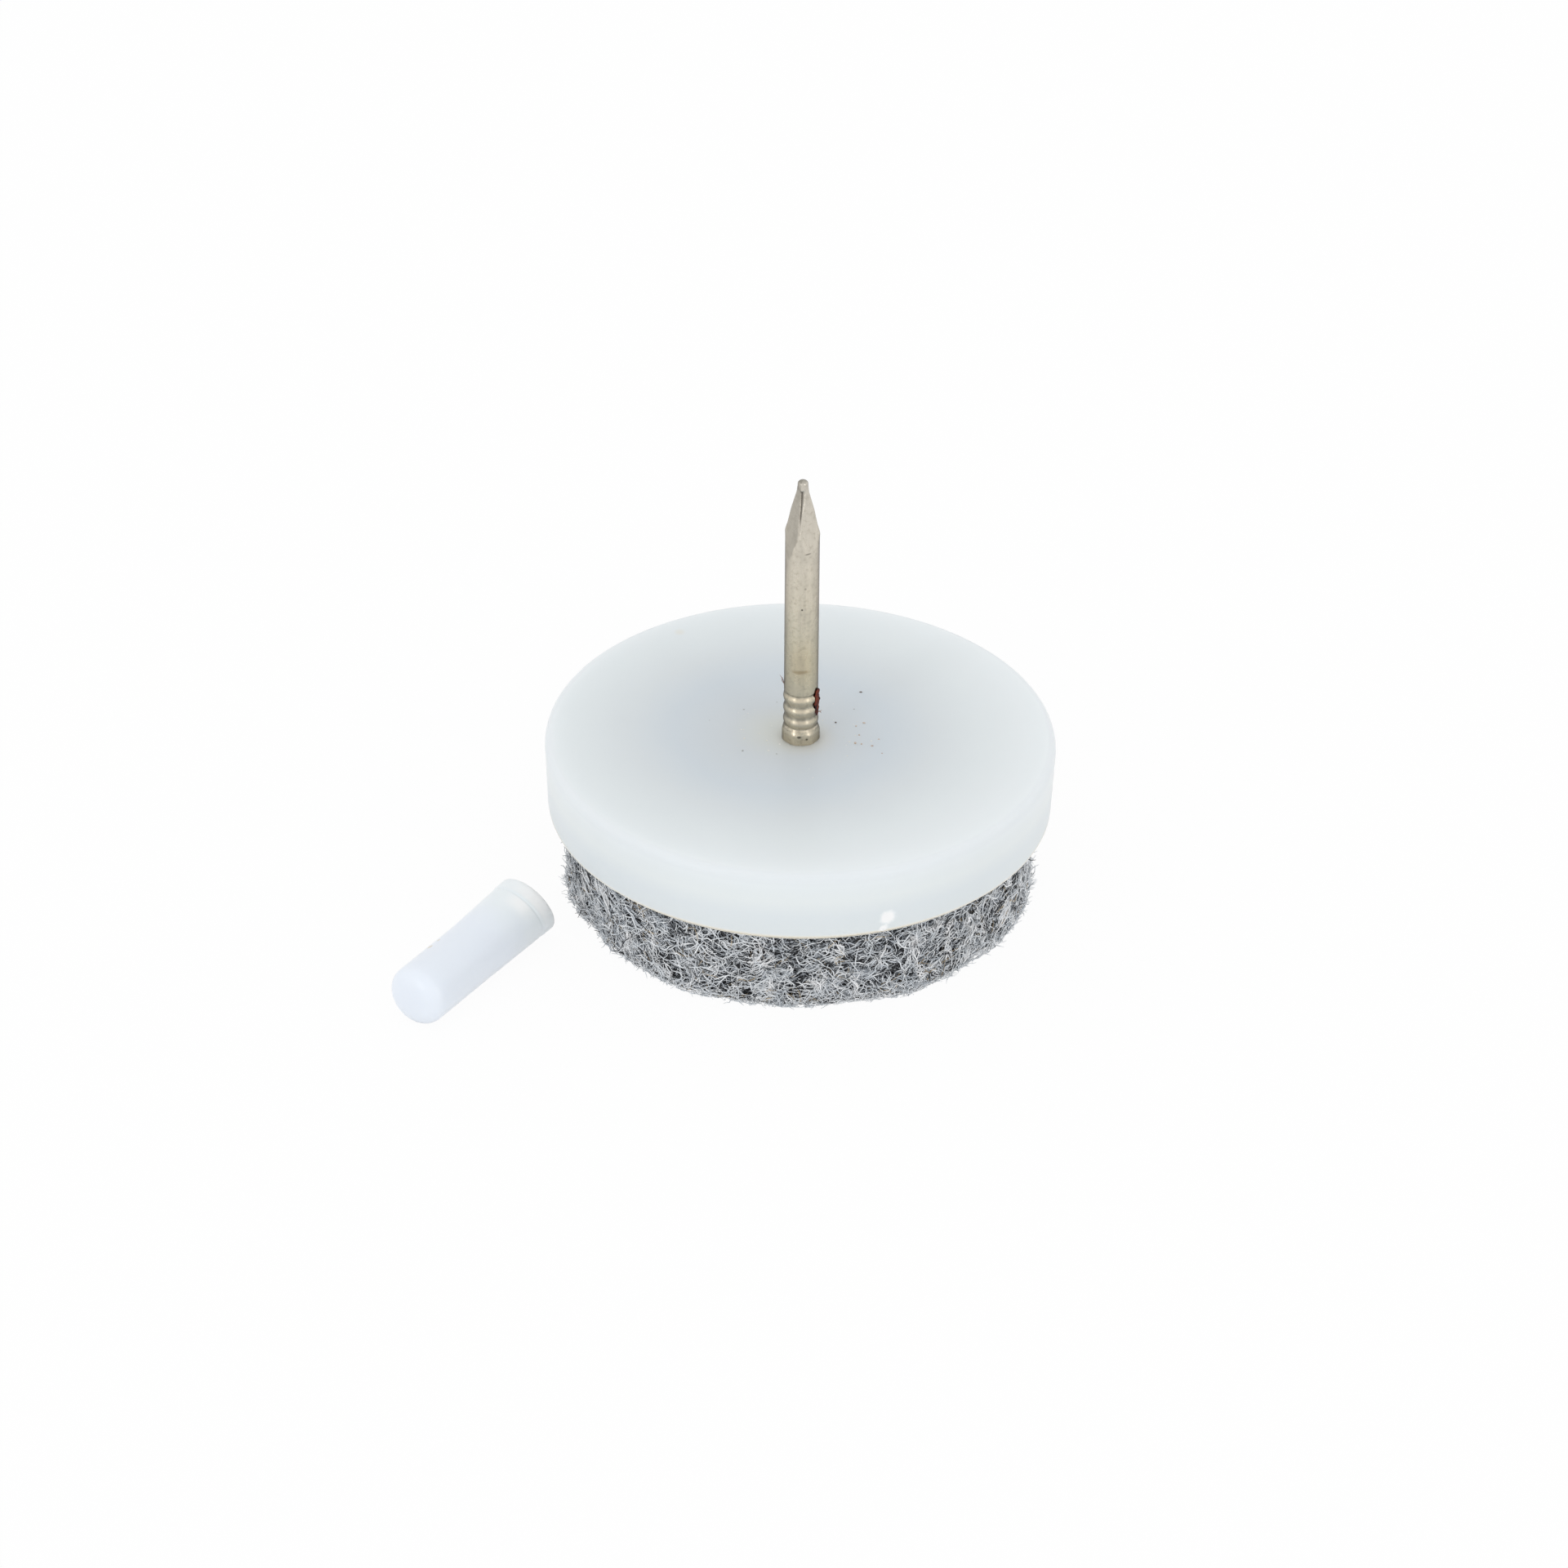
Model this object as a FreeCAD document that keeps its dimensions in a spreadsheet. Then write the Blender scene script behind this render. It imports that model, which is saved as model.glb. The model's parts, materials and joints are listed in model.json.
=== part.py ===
import FreeCAD, Part
import os
import Sketcher

# Nail-on furniture glide: a moulded plastic plate on a felt pad, the nail that fixes it to a furniture leg,
# and the soft plastic cap that guards the nail's point, taken off and lying beside the glide.
# Millimetres and degrees, +Z up, origin at the middle of the felt's underside.

SIZES = (
    ("felt_diameter", 21.6, "felt pad, across"),
    ("felt_thickness", 4.2, "felt pad, from the floor to the plate"),
    ("felt_edge_chamfer", 0.3, "felt pad, worn lower edge"),
    ("plate_diameter", 24.0, "plate, across its top"),
    ("plate_thickness", 3.6, "plate, underside to top"),
    ("plate_draft", 2.4, "plate, mould draft of the side, narrower below"),
    ("plate_top_round", 0.35, "plate, rounding of the top edge"),
    ("plate_foot_chamfer", 0.12, "plate, lower edge"),
    ("bore_mouth_gap", 0.04, "plate, from the grip rings out to the edge of the bore's mouth"),
    ("nail_diameter", 1.6, "nail, shank wire"),
    ("nail_stand", 13.9, "nail, tip above the plate's top"),
    ("head_diameter", 4.4, "nail, flat head"),
    ("head_thickness", 0.8, "nail, flat head, flush with the plate's underside"),
    ("head_clearance", 0.1, "plate, gap round the nail's head"),
    ("ring_lift", 0.1, "nail, lowest grip ring above the plate's top"),
    ("ring_pitch", 0.62, "nail, from one grip ring to the next"),
    ("ring_overlap", 0.02, "nail, overlap of one grip ring's foot with the next"),
    ("ring_height", 0.05, "nail, grip ring above the shank"),
    ("ring_count", 4, "nail, grip rings above the plate"),
    ("point_taper", 2.65, "nail, flats of the point from the tip to the shoulder"),
    ("point_run_out", 0.75, "nail, flats from the shoulder to where they leave the shank"),
    ("point_sides", 4, "nail, flats pinched on the point"),
    ("point_turn", 35.0, "nail, turn of the flats about the axis"),
    ("shoulder_width", 1.14, "nail, point across the flats at the shoulder"),
    ("tip_width", 0.4, "nail, blunt tip across the flats"),
    ("tip_round", 0.16, "nail, rounding of the blunt tip"),
    ("guard_wall", 0.65, "guard, wall round the bore"),
    ("guard_end_wall", 0.9, "guard, closed end"),
    ("guard_length", 9.2, "guard, along its axis"),
    ("guard_end_chamfer", 0.15, "guard, edge of the closed end"),
    ("guard_flare", 0.06, "guard, rise of the taper that the nail stretched"),
    ("guard_flare_length", 1.4, "guard, taper along the axis"),
    ("guard_lip_rise", 0.05, "guard, step from the taper up to the lip"),
    ("guard_lip_length", 1.2, "guard, lip from the step to the middle of the mouth"),
    ("guard_lip_round", 0.15, "guard, rounding of the lip at the mouth"),
    ("guard_cut_angle", 20.0, "guard, slant of the mouth"),
    ("guard_cut_roll", -73.0, "guard, direction of that slant about the axis"),
    ("guard_gap", 2.74, "guard, middle of the mouth from the felt's side"),
    ("guard_bearing", 202.6, "guard, direction from the felt's middle to the mouth"),
    ("guard_heading", 58.2, "guard, direction of the axis towards the mouth"),
)

# Sizes that follow from the ones above, as expressions of the sheet
NAIL_RADIUS = "sizes.nail_diameter / 2"
HEAD_RADIUS = "sizes.head_diameter / 2"
SHANK_TOP = "sizes.plate_thickness + sizes.nail_stand"
SHOULDER = f"{SHANK_TOP} - sizes.point_taper"
POINT_START = f"{SHOULDER} - sizes.point_run_out"
RING_ROOT = f"({NAIL_RADIUS} - sizes.ring_height)"
RING_WIDTH = "(sizes.ring_pitch + sizes.ring_overlap)"
RING_START = "(sizes.plate_thickness + sizes.ring_lift)"
RING_END = f"({RING_START} + {RING_WIDTH})"
RING_CURVE = f"(({RING_WIDTH} / 2)^2 + sizes.ring_height^2) / (2 * sizes.ring_height)"
PLATE_RADIUS = "sizes.plate_diameter / 2"
PLATE_FOOT_RADIUS = f"{PLATE_RADIUS} - sizes.plate_thickness * tan(sizes.plate_draft * 1 deg)"
GUARD_RADIUS = f"({NAIL_RADIUS} + sizes.guard_wall)"
FLARE_RADIUS = f"({GUARD_RADIUS} + sizes.guard_flare)"
MOUTH_RADIUS = f"({FLARE_RADIUS} + sizes.guard_lip_rise)"
CUT_REACH = f"(2 * {MOUTH_RADIUS})"
CUT_SLOPE = "tan(sizes.guard_cut_angle * 1 deg)"
CUT_RISE = f"{CUT_SLOPE} * {CUT_REACH}"
MOUTH_DISTANCE = "(sizes.felt_diameter / 2 + sizes.guard_gap)"

EDGE_TOLERANCE = 1e-4
CUT_TOLERANCE = 1e-6


def value(expression):
    """The number that an expression of the sheet gives."""
    result = sheet.evalExpression(expression)
    return float(getattr(result, "Value", result))


def make_sheet():
    """The sheet of driving sizes: a name, a value with its alias and a note on each row."""
    table = doc.addObject("Spreadsheet::Sheet", "sizes")
    for row, (alias, size, note) in enumerate(SIZES, start=1):
        table.set(f"A{row}", alias)
        table.set(f"B{row}", str(size))
        table.set(f"C{row}", note)
        table.setAlias(f"B{row}", alias)
    return table


def make_body(label, height):
    """A body for one piece, with its own origin lifted to an expression of the sheet."""
    body = doc.addObject("PartDesign::Body", label)
    body.Label = label
    body.setExpression("Placement.Base.z", height)
    return body


def attached_sketch(body, name, role):
    """An empty sketch on one of the body's own origin planes."""
    plane = next(feature for feature in body.Origin.OriginFeatures if feature.Role == role)
    sketch = body.newObject("Sketcher::SketchObject", name)
    sketch.AttachmentSupport = [(plane, "")]
    sketch.MapMode = "FlatFace"
    return sketch


def pin_point(sketch, line, point, across, along):
    """Ties one end of a line to two expressions of the sheet, or to an axis where one of them is 0."""
    for kind, axis, expression in (("DistanceX", -2, across), ("DistanceY", -1, along)):
        if expression == "0":
            sketch.addConstraint(Sketcher.Constraint("PointOnObject", line, point, axis))
        else:
            constraint = Sketcher.Constraint(kind, -1, 1, line, point, value(expression))
            index = sketch.addConstraint(constraint)
            sketch.setExpression(f"Constraints[{index}]", expression)


def outline_sketch(body, name, role, corners):
    """A closed outline of straight lines, each corner given by two expressions of the sheet."""
    sketch = attached_sketch(body, name, role)
    points = [FreeCAD.Vector(value(across), value(along), 0) for across, along in corners]
    for start, end in zip(points, points[1:] + points[:1]):
        sketch.addGeometry(Part.LineSegment(start, end))
    for line, (across, along) in enumerate(corners):
        following = (line + 1) % len(corners)
        sketch.addConstraint(Sketcher.Constraint("Coincident", line, 2, following, 1))
        pin_point(sketch, line, 1, across, along)
    return sketch


def circle_sketch(body, name, radius):
    """A circle about the body's axis, on the body's ground plane."""
    sketch = attached_sketch(body, name, "XY_Plane")
    sketch.addGeometry(Part.Circle(FreeCAD.Vector(), FreeCAD.Vector(0, 0, 1), value(radius)))
    sketch.addConstraint(Sketcher.Constraint("Coincident", 0, 3, -1, 1))
    index = sketch.addConstraint(Sketcher.Constraint("Radius", 0, value(radius)))
    sketch.setExpression(f"Constraints[{index}]", radius)
    return sketch


def revolve(body, name, sketch, axis="V_Axis"):
    """A full turn of a sketch about one of its own axes."""
    feature = body.newObject("PartDesign::Revolution", name)
    feature.Profile = sketch
    feature.ReferenceAxis = (sketch, [axis])
    feature.Angle = 360.0
    doc.recompute()
    return feature


def pocket_up(body, name, radius, depth):
    """A round pocket about the body's axis, cut upwards from the body's ground plane."""
    feature = body.newObject("PartDesign::Pocket", name)
    feature.Profile = circle_sketch(body, f"{name}_outline", radius)
    feature.Reversed = True
    feature.setExpression("Length", depth)
    doc.recompute()
    return feature


def pocket_across(body, name, sketch):
    """A pocket cut to both sides of its sketch, right through the body."""
    feature = body.newObject("PartDesign::Pocket", name)
    feature.Profile = sketch
    feature.SideType = "Symmetric"
    feature.Type = "ThroughAll"
    doc.recompute()
    return feature


def circles_at(feature, along, position, radius):
    """Names of a feature's round edges of one radius, at one position along an axis of the body."""
    names = []
    for index, edge in enumerate(feature.Shape.Edges, start=1):
        curve = edge.Curve
        if not isinstance(curve, Part.Circle):
            continue
        offset = getattr(curve.Center, along) - position
        if abs(offset) < EDGE_TOLERANCE and abs(curve.Radius - radius) < EDGE_TOLERANCE:
            names.append(f"Edge{index}")
    return names


def round_edges(body, name, feature, edges, radius):
    """A fillet on the named edges of a feature."""
    fillet = body.newObject("PartDesign::Fillet", name)
    fillet.Base = (feature, edges)
    fillet.setExpression("Radius", radius)
    doc.recompute()
    return fillet


def chamfer_edges(body, name, feature, edges, size):
    """A chamfer on the named edges of a feature."""
    chamfer = body.newObject("PartDesign::Chamfer", name)
    chamfer.Base = (feature, edges)
    chamfer.setExpression("Size", size)
    doc.recompute()
    return chamfer


def make_felt_pad():
    """The felt disc that stands on the floor."""
    body = make_body("felt_pad", "0")
    disc = body.newObject("PartDesign::Pad", "felt_disc")
    disc.Profile = circle_sketch(body, "felt_outline", "sizes.felt_diameter / 2")
    disc.setExpression("Length", "sizes.felt_thickness")
    doc.recompute()
    lower_edge = circles_at(disc, "z", 0, value("sizes.felt_diameter / 2"))
    chamfer_edges(body, "felt_worn_edge", disc, lower_edge, "sizes.felt_edge_chamfer")
    return body


def make_glide_plate():
    """The moulded disc, with the pocket for the nail's head below and the bore for its shank."""
    body = make_body("glide_plate", "sizes.felt_thickness")
    section = (
        ("0", "0"),
        (PLATE_FOOT_RADIUS, "0"),
        (PLATE_RADIUS, "sizes.plate_thickness"),
        ("0", "sizes.plate_thickness"),
    )
    disc = revolve(body, "plate_disc", outline_sketch(body, "plate_section", "XZ_Plane", section))
    top_edge = circles_at(disc, "z", value("sizes.plate_thickness"), value(PLATE_RADIUS))
    topped = round_edges(body, "plate_top_edge", disc, top_edge, "sizes.plate_top_round")
    foot_edge = circles_at(topped, "z", 0, value(PLATE_FOOT_RADIUS))
    chamfer_edges(body, "plate_foot_edge", topped, foot_edge, "sizes.plate_foot_chamfer")
    pocket_up(body, "head_pocket", f"{HEAD_RADIUS} + sizes.head_clearance", "sizes.head_thickness")
    bore = pocket_up(body, "nail_bore", NAIL_RADIUS, "sizes.plate_thickness")
    mouth_edge = circles_at(bore, "z", value("sizes.plate_thickness"), value(NAIL_RADIUS))
    chamfer_edges(body, "bore_mouth", bore, mouth_edge, "sizes.ring_height + sizes.bore_mouth_gap")
    return body


def ring_sketch(body):
    """Half the section of a grip ring: an arc that bulges out of the shank, on a foot that reaches into it."""
    sketch = attached_sketch(body, "ring_section", "XZ_Plane")
    root = value(RING_ROOT)
    wall = value(NAIL_RADIUS)
    low = value(RING_START)
    high = value(RING_END)
    crest = FreeCAD.Vector(wall + value("sizes.ring_height"), (low + high) / 2, 0)
    foot = FreeCAD.Vector(wall, low, 0)
    head = FreeCAD.Vector(wall, high, 0)
    inner_head = FreeCAD.Vector(root, high, 0)
    inner_foot = FreeCAD.Vector(root, low, 0)
    sketch.addGeometry(Part.Arc(foot, crest, head))
    sketch.addGeometry(Part.LineSegment(head, inner_head))
    sketch.addGeometry(Part.LineSegment(inner_head, inner_foot))
    sketch.addGeometry(Part.LineSegment(inner_foot, foot))
    for line in range(4):
        sketch.addConstraint(Sketcher.Constraint("Coincident", line, 2, (line + 1) % 4, 1))
    pin_point(sketch, 1, 1, NAIL_RADIUS, RING_END)
    pin_point(sketch, 2, 1, RING_ROOT, RING_END)
    pin_point(sketch, 3, 1, RING_ROOT, RING_START)
    pin_point(sketch, 3, 2, NAIL_RADIUS, RING_START)
    index = sketch.addConstraint(Sketcher.Constraint("Radius", 0, value(RING_CURVE)))
    sketch.setExpression(f"Constraints[{index}]", RING_CURVE)
    return sketch


def make_nail():
    """The wire nail: flat head, round shank, grip rings and a pinched point with a blunt tip."""
    body = make_body("nail", "sizes.felt_thickness")
    body.setExpression("Placement.Rotation.Angle", "sizes.point_turn")
    section = (
        ("0", "0"),
        (HEAD_RADIUS, "0"),
        (HEAD_RADIUS, "sizes.head_thickness"),
        (NAIL_RADIUS, "sizes.head_thickness"),
        (NAIL_RADIUS, SHANK_TOP),
        ("0", SHANK_TOP),
    )
    shank_sketch = outline_sketch(body, "shank_section", "XZ_Plane", section)
    revolve(body, "head_and_shank", shank_sketch)

    flat_section = (
        ("sizes.tip_width / 2", SHANK_TOP),
        ("sizes.shoulder_width / 2", SHOULDER),
        (NAIL_RADIUS, POINT_START),
        ("sizes.nail_diameter", POINT_START),
        ("sizes.nail_diameter", SHANK_TOP),
    )
    flat_sketch = outline_sketch(body, "point_flat_section", "XZ_Plane", flat_section)
    flat = pocket_across(body, "point_flat", flat_sketch)
    flats = body.newObject("PartDesign::PolarPattern", "point_flats")
    flats.Originals = [flat]
    flats.Axis = (shank_sketch, ["V_Axis"])
    flats.Angle = 360.0
    flats.setExpression("Occurrences", "sizes.point_sides")
    body.Tip = flats
    doc.recompute()

    tip_height = value(SHANK_TOP)
    tip_edges = [
        f"Edge{index}"
        for index, edge in enumerate(flats.Shape.Edges, start=1)
        if abs(edge.BoundBox.ZMin - tip_height) < EDGE_TOLERANCE
    ]
    round_edges(body, "blunt_tip", flats, tip_edges, "min(sizes.tip_round; 0.4 * sizes.tip_width)")

    ring = revolve(body, "grip_ring", ring_sketch(body))
    rings = body.newObject("PartDesign::LinearPattern", "grip_rings")
    rings.Originals = [ring]
    rings.Direction = (shank_sketch, ["V_Axis"])
    rings.setExpression("Length", "sizes.ring_pitch * (sizes.ring_count - 1)")
    rings.setExpression("Occurrences", "sizes.ring_count")
    body.Tip = rings
    doc.recompute()
    return body


def make_nail_guard():
    """The cap for the nail's point: a closed tube with a stretched lip, lying on the floor beside the felt."""
    body = make_body("nail_guard", MOUTH_RADIUS)
    for axis, turn in (("x", "cos"), ("y", "sin")):
        mouth = f"{MOUTH_DISTANCE} * {turn}(sizes.guard_bearing * 1 deg)"
        run = f"sizes.guard_length * {turn}(sizes.guard_heading * 1 deg)"
        body.setExpression(f"Placement.Base.{axis}", f"{mouth} - {run}")
    body.setExpression("Placement.Rotation.Angle", "sizes.guard_heading")

    lip_start = "sizes.guard_length - sizes.guard_lip_length"
    blank_end = f"sizes.guard_length + {CUT_RISE}"
    wall = (
        ("0", "0"),
        ("0", GUARD_RADIUS),
        (f"{lip_start} - sizes.guard_flare_length", GUARD_RADIUS),
        (lip_start, FLARE_RADIUS),
        (lip_start, MOUTH_RADIUS),
        (blank_end, MOUTH_RADIUS),
        (blank_end, NAIL_RADIUS),
        ("sizes.guard_end_wall", NAIL_RADIUS),
        ("sizes.guard_end_wall", "0"),
    )
    wall_sketch = outline_sketch(body, "guard_wall_section", "XY_Plane", wall)
    tube = revolve(body, "guard_tube", wall_sketch, "H_Axis")
    closed_end = circles_at(tube, "x", 0, value(GUARD_RADIUS))
    chamfer_edges(body, "guard_closed_end", tube, closed_end, "sizes.guard_end_chamfer")

    waste = (
        (f"sizes.guard_length - {CUT_RISE}", f"-{CUT_REACH}"),
        (f"{blank_end} + {CUT_REACH}", f"-{CUT_REACH}"),
        (f"{blank_end} + {CUT_REACH}", CUT_REACH),
        (blank_end, CUT_REACH),
    )
    waste_sketch = outline_sketch(body, "guard_waste_section", "XY_Plane", waste)
    waste_sketch.AttachmentOffset = FreeCAD.Placement(
        FreeCAD.Vector(), FreeCAD.Rotation(FreeCAD.Vector(1, 0, 0), value("sizes.guard_cut_roll"))
    )
    waste_sketch.setExpression("AttachmentOffset.Rotation.Angle", "sizes.guard_cut_roll")
    mouth_cut = pocket_across(body, "guard_mouth_cut", waste_sketch)
    mouth_edge = [
        f"Edge{index}"
        for index, edge in enumerate(mouth_cut.Shape.Edges, start=1)
        if isinstance(edge.Curve, Part.Ellipse) and edge.Curve.MinorRadius > value(GUARD_RADIUS)
    ]
    round_edges(body, "guard_lip", mouth_cut, mouth_edge, "sizes.guard_lip_round")
    return body


def check_document(bodies):
    """Stops if a feature failed, a cut took nothing away or a piece isn't one valid solid."""
    for item in doc.Objects:
        if {"Invalid", "Error"} & set(item.State):
            raise RuntimeError(f"{item.Label} failed: {item.State}")
        if item.TypeId == "PartDesign::Pocket":
            taken = item.BaseFeature.Shape.Volume - item.Shape.Volume
            if taken < CUT_TOLERANCE:
                raise RuntimeError(f"{item.Label} cuts nothing")
    for body in bodies:
        if body.Shape.isNull() or not body.Shape.isValid() or len(body.Shape.Solids) != 1:
            raise RuntimeError(f"{body.Label} isn't one valid solid")


doc = FreeCAD.newDocument("nail_on_glide")
sheet = make_sheet()
doc.recompute()
pieces = [make_felt_pad(), make_glide_plate(), make_nail(), make_nail_guard()]
doc.recompute()
check_document(pieces)

os.makedirs("parts", exist_ok=True)
for piece in pieces:
    piece.Shape.exportStep(f"parts/{piece.Label}.step")
    box = piece.Shape.BoundBox
    print(
        f"{piece.Label}: {piece.Shape.Volume:.2f} mm3, x {box.XMin:.2f} to {box.XMax:.2f}, "
        f"y {box.YMin:.2f} to {box.YMax:.2f}, z {box.ZMin:.2f} to {box.ZMax:.2f}"
    )
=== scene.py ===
import json
import logging
import math
from dataclasses import dataclass
from enum import Enum
from typing import Any

import bpy
import numpy as np
from mathutils import Matrix, Vector


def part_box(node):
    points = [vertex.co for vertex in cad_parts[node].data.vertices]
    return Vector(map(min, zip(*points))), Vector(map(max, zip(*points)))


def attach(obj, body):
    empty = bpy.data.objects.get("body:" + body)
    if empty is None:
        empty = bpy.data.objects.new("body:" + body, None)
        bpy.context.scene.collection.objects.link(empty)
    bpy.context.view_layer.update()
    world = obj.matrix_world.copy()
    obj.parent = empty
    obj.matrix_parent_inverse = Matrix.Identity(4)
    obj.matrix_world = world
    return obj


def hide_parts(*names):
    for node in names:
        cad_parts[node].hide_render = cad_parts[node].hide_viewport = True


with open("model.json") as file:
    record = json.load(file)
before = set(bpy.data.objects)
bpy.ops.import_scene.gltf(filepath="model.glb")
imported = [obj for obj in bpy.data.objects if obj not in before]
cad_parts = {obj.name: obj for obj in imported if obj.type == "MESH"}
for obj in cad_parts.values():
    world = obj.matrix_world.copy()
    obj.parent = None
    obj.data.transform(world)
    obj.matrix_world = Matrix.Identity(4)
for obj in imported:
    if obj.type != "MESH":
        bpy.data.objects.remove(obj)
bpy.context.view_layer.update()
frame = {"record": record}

MM = 0.001
FULL_TURN = 2 * math.pi
ROOT = "root"

LOG = logging.getLogger("glide")

Array = np.ndarray
Colour = tuple[float, float, float, float]
Place = tuple[float, float, float]
Socket = bpy.types.NodeSocket

EVENLY: Place = (1.0, 1.0, 1.0)
LEVEL_ONLY: Place = (1.0, 1.0, 0.0)
HEIGHT_ONLY: Place = (0.0, 0.0, 1.0)
SHARP_EDGE = math.radians(40)
SOFT_EDGE = math.radians(60)
ASKEW = np.array([0.31, 0.17, 0.94])
MIX_SHARE, MIX_FIRST, MIX_SECOND, MIX_COLOUR = 0, 6, 7, 2


def srgb(red: int, green: int, blue: int) -> Colour:
    """A colour as a screen shows it, 0 to 255, turned into the linear values that shaders take.

    Args:
        red: red as shown.
        green: green as shown.
        blue: blue as shown.

    Returns:
        Linear red, green and blue, and an alpha of 1.
    """
    shown = np.array([red, green, blue]) / 255
    linear = np.where(shown <= 0.04045, shown / 12.92, ((shown + 0.055) / 1.055) ** 2.4)
    return (*(float(part) for part in linear), 1.0)


def smooth_step(low: float, high: float, place: Array) -> Array:
    """Rises from 0 at low to 1 at high, level at both ends: s squared times three less twice s."""
    share = np.clip((place - low) / (high - low), 0, 1)
    return share * share * (3 - 2 * share)


def bell(off: Array, width: float | Array) -> Array:
    """1 in the middle, falling to both sides: e to the minus square of the offset over the width."""
    return np.exp(-((off / width) ** 2))


def ring(columns: int) -> Array:
    """Even angles once round, in radians, from 0."""
    return np.arange(columns) * FULL_TURN / columns


class Closure(Enum):
    """How the rows of a skin end."""

    POLES = "each end row runs to one point in its middle"
    LOOP = "the last row joins the first"


def grid_quads(rows: int, columns: int, closure: Closure) -> Array:
    """Four-cornered faces of a grid whose columns close into a ring.

    Args:
        rows: rows of points.
        columns: points in each row.
        closure: whether the last row joins the first.

    Returns:
        Point numbers, four to a face. A face looks outwards where rows run upwards and columns turn
        counter-clockwise seen from above.
    """
    spans = rows if closure is Closure.LOOP else rows - 1
    row = np.arange(spans)[:, None] * columns
    above = (np.arange(spans)[:, None] + 1) % rows * columns
    column = np.arange(columns)[None, :]
    beside = (column + 1) % columns
    return np.stack([row + column, row + beside, above + beside, above + column], axis=-1).reshape(-1, 4)


def make_object(
    name: str,
    points: Array,
    quads: Array,
    triangles: Array,
    material: bpy.types.Material,
    sharp_from: float = SHARP_EDGE,
) -> bpy.types.Object:
    """A smooth-shaded mesh object at the origin, with its place in its points.

    Args:
        name: the piece's name.
        points: n x 3 corner points, in metres.
        quads: point numbers of the four-cornered faces.
        triangles: point numbers of the three-cornered faces.
        material: the finish.
        sharp_from: angle between two faces, in radians, above which their edge is shaded sharp.

    Returns:
        The object, in the scene and riding on the glide.
    """
    mesh = bpy.data.meshes.new(name)
    corners = np.concatenate([quads.ravel(), triangles.ravel()])
    starts = np.concatenate([np.arange(len(quads)) * 4, quads.size + np.arange(len(triangles)) * 3])
    mesh.vertices.add(len(points))
    mesh.vertices.foreach_set("co", points.astype(np.float32).ravel())
    mesh.loops.add(len(corners))
    mesh.loops.foreach_set("vertex_index", corners.astype(np.int32))
    mesh.polygons.add(len(starts))
    mesh.polygons.foreach_set("loop_start", starts.astype(np.int32))
    mesh.update(calc_edges=True)
    mesh.polygons.foreach_set("use_smooth", np.ones(len(starts), dtype=bool))
    mesh.set_sharp_from_angle(angle=sharp_from)
    mesh.materials.append(material)
    piece = bpy.data.objects.new(name, mesh)
    bpy.context.scene.collection.objects.link(piece)
    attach(piece, ROOT)
    LOG.info("%s: %d triangles", name, 2 * len(quads) + len(triangles))
    return piece


def skin_faces(rows: int, columns: int, closure: Closure) -> tuple[Array, Array]:
    """Faces of a grid of points, with fans to the two poles where it has them.

    Args:
        rows: rows of points.
        columns: points in each row.
        closure: how the rows end. The poles' points come after those of the grid.

    Returns:
        Point numbers of the four-cornered and of the three-cornered faces.
    """
    quads = grid_quads(rows, columns, closure)
    if closure is Closure.LOOP:
        return quads, np.empty((0, 3), dtype=int)
    column = np.arange(columns)
    beside = (column + 1) % columns
    last = (rows - 1) * columns
    low_pole = np.full(columns, rows * columns)
    low_fan = np.stack([low_pole, beside, column], axis=-1)
    high_fan = np.stack([low_pole + 1, last + column, last + beside], axis=-1)
    return quads, np.concatenate([low_fan, high_fan])


def make_skin(
    name: str,
    grid: Array,
    closure: Closure,
    material: bpy.types.Material,
    sharp_from: float = SHARP_EDGE,
) -> bpy.types.Object:
    """A closed surface from a grid of points, with its end rows closed.

    Args:
        name: the piece's name.
        grid: rows x columns x 3 points, in metres.
        closure: how the rows end.
        material: the finish.
        sharp_from: angle above which an edge is shaded sharp, in radians.

    Returns:
        The object.
    """
    points = grid.reshape(-1, 3)
    if closure is Closure.POLES:
        points = np.concatenate([points, grid[[0, -1]].mean(axis=1)])
    return make_object(name, points, *skin_faces(*grid.shape[:2], closure), material, sharp_from)


def lay_on(piece: bpy.types.Object, name: str, amounts: Array) -> None:
    """Gives each point of a skin with poles a value, under a name that its finish reads.

    Args:
        piece: the skin.
        name: the value's name.
        amounts: rows x columns values of its grid.
    """
    poles = amounts[[0, -1]].mean(axis=1)
    carried = piece.data.attributes.new(name, "FLOAT", "POINT")
    carried.data.foreach_set("value", np.append(amounts.ravel(), poles).astype(np.float32))


def unit_ball(rows: int, columns: int) -> Array:
    """Points on a ball of radius 1, without its poles: (cos u cos a, cos u sin a, sin u)."""
    rise = np.linspace(-1, 1, rows + 2)[1:-1] * math.pi / 2
    return turned(np.cos(rise), np.sin(rise), columns)


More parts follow.
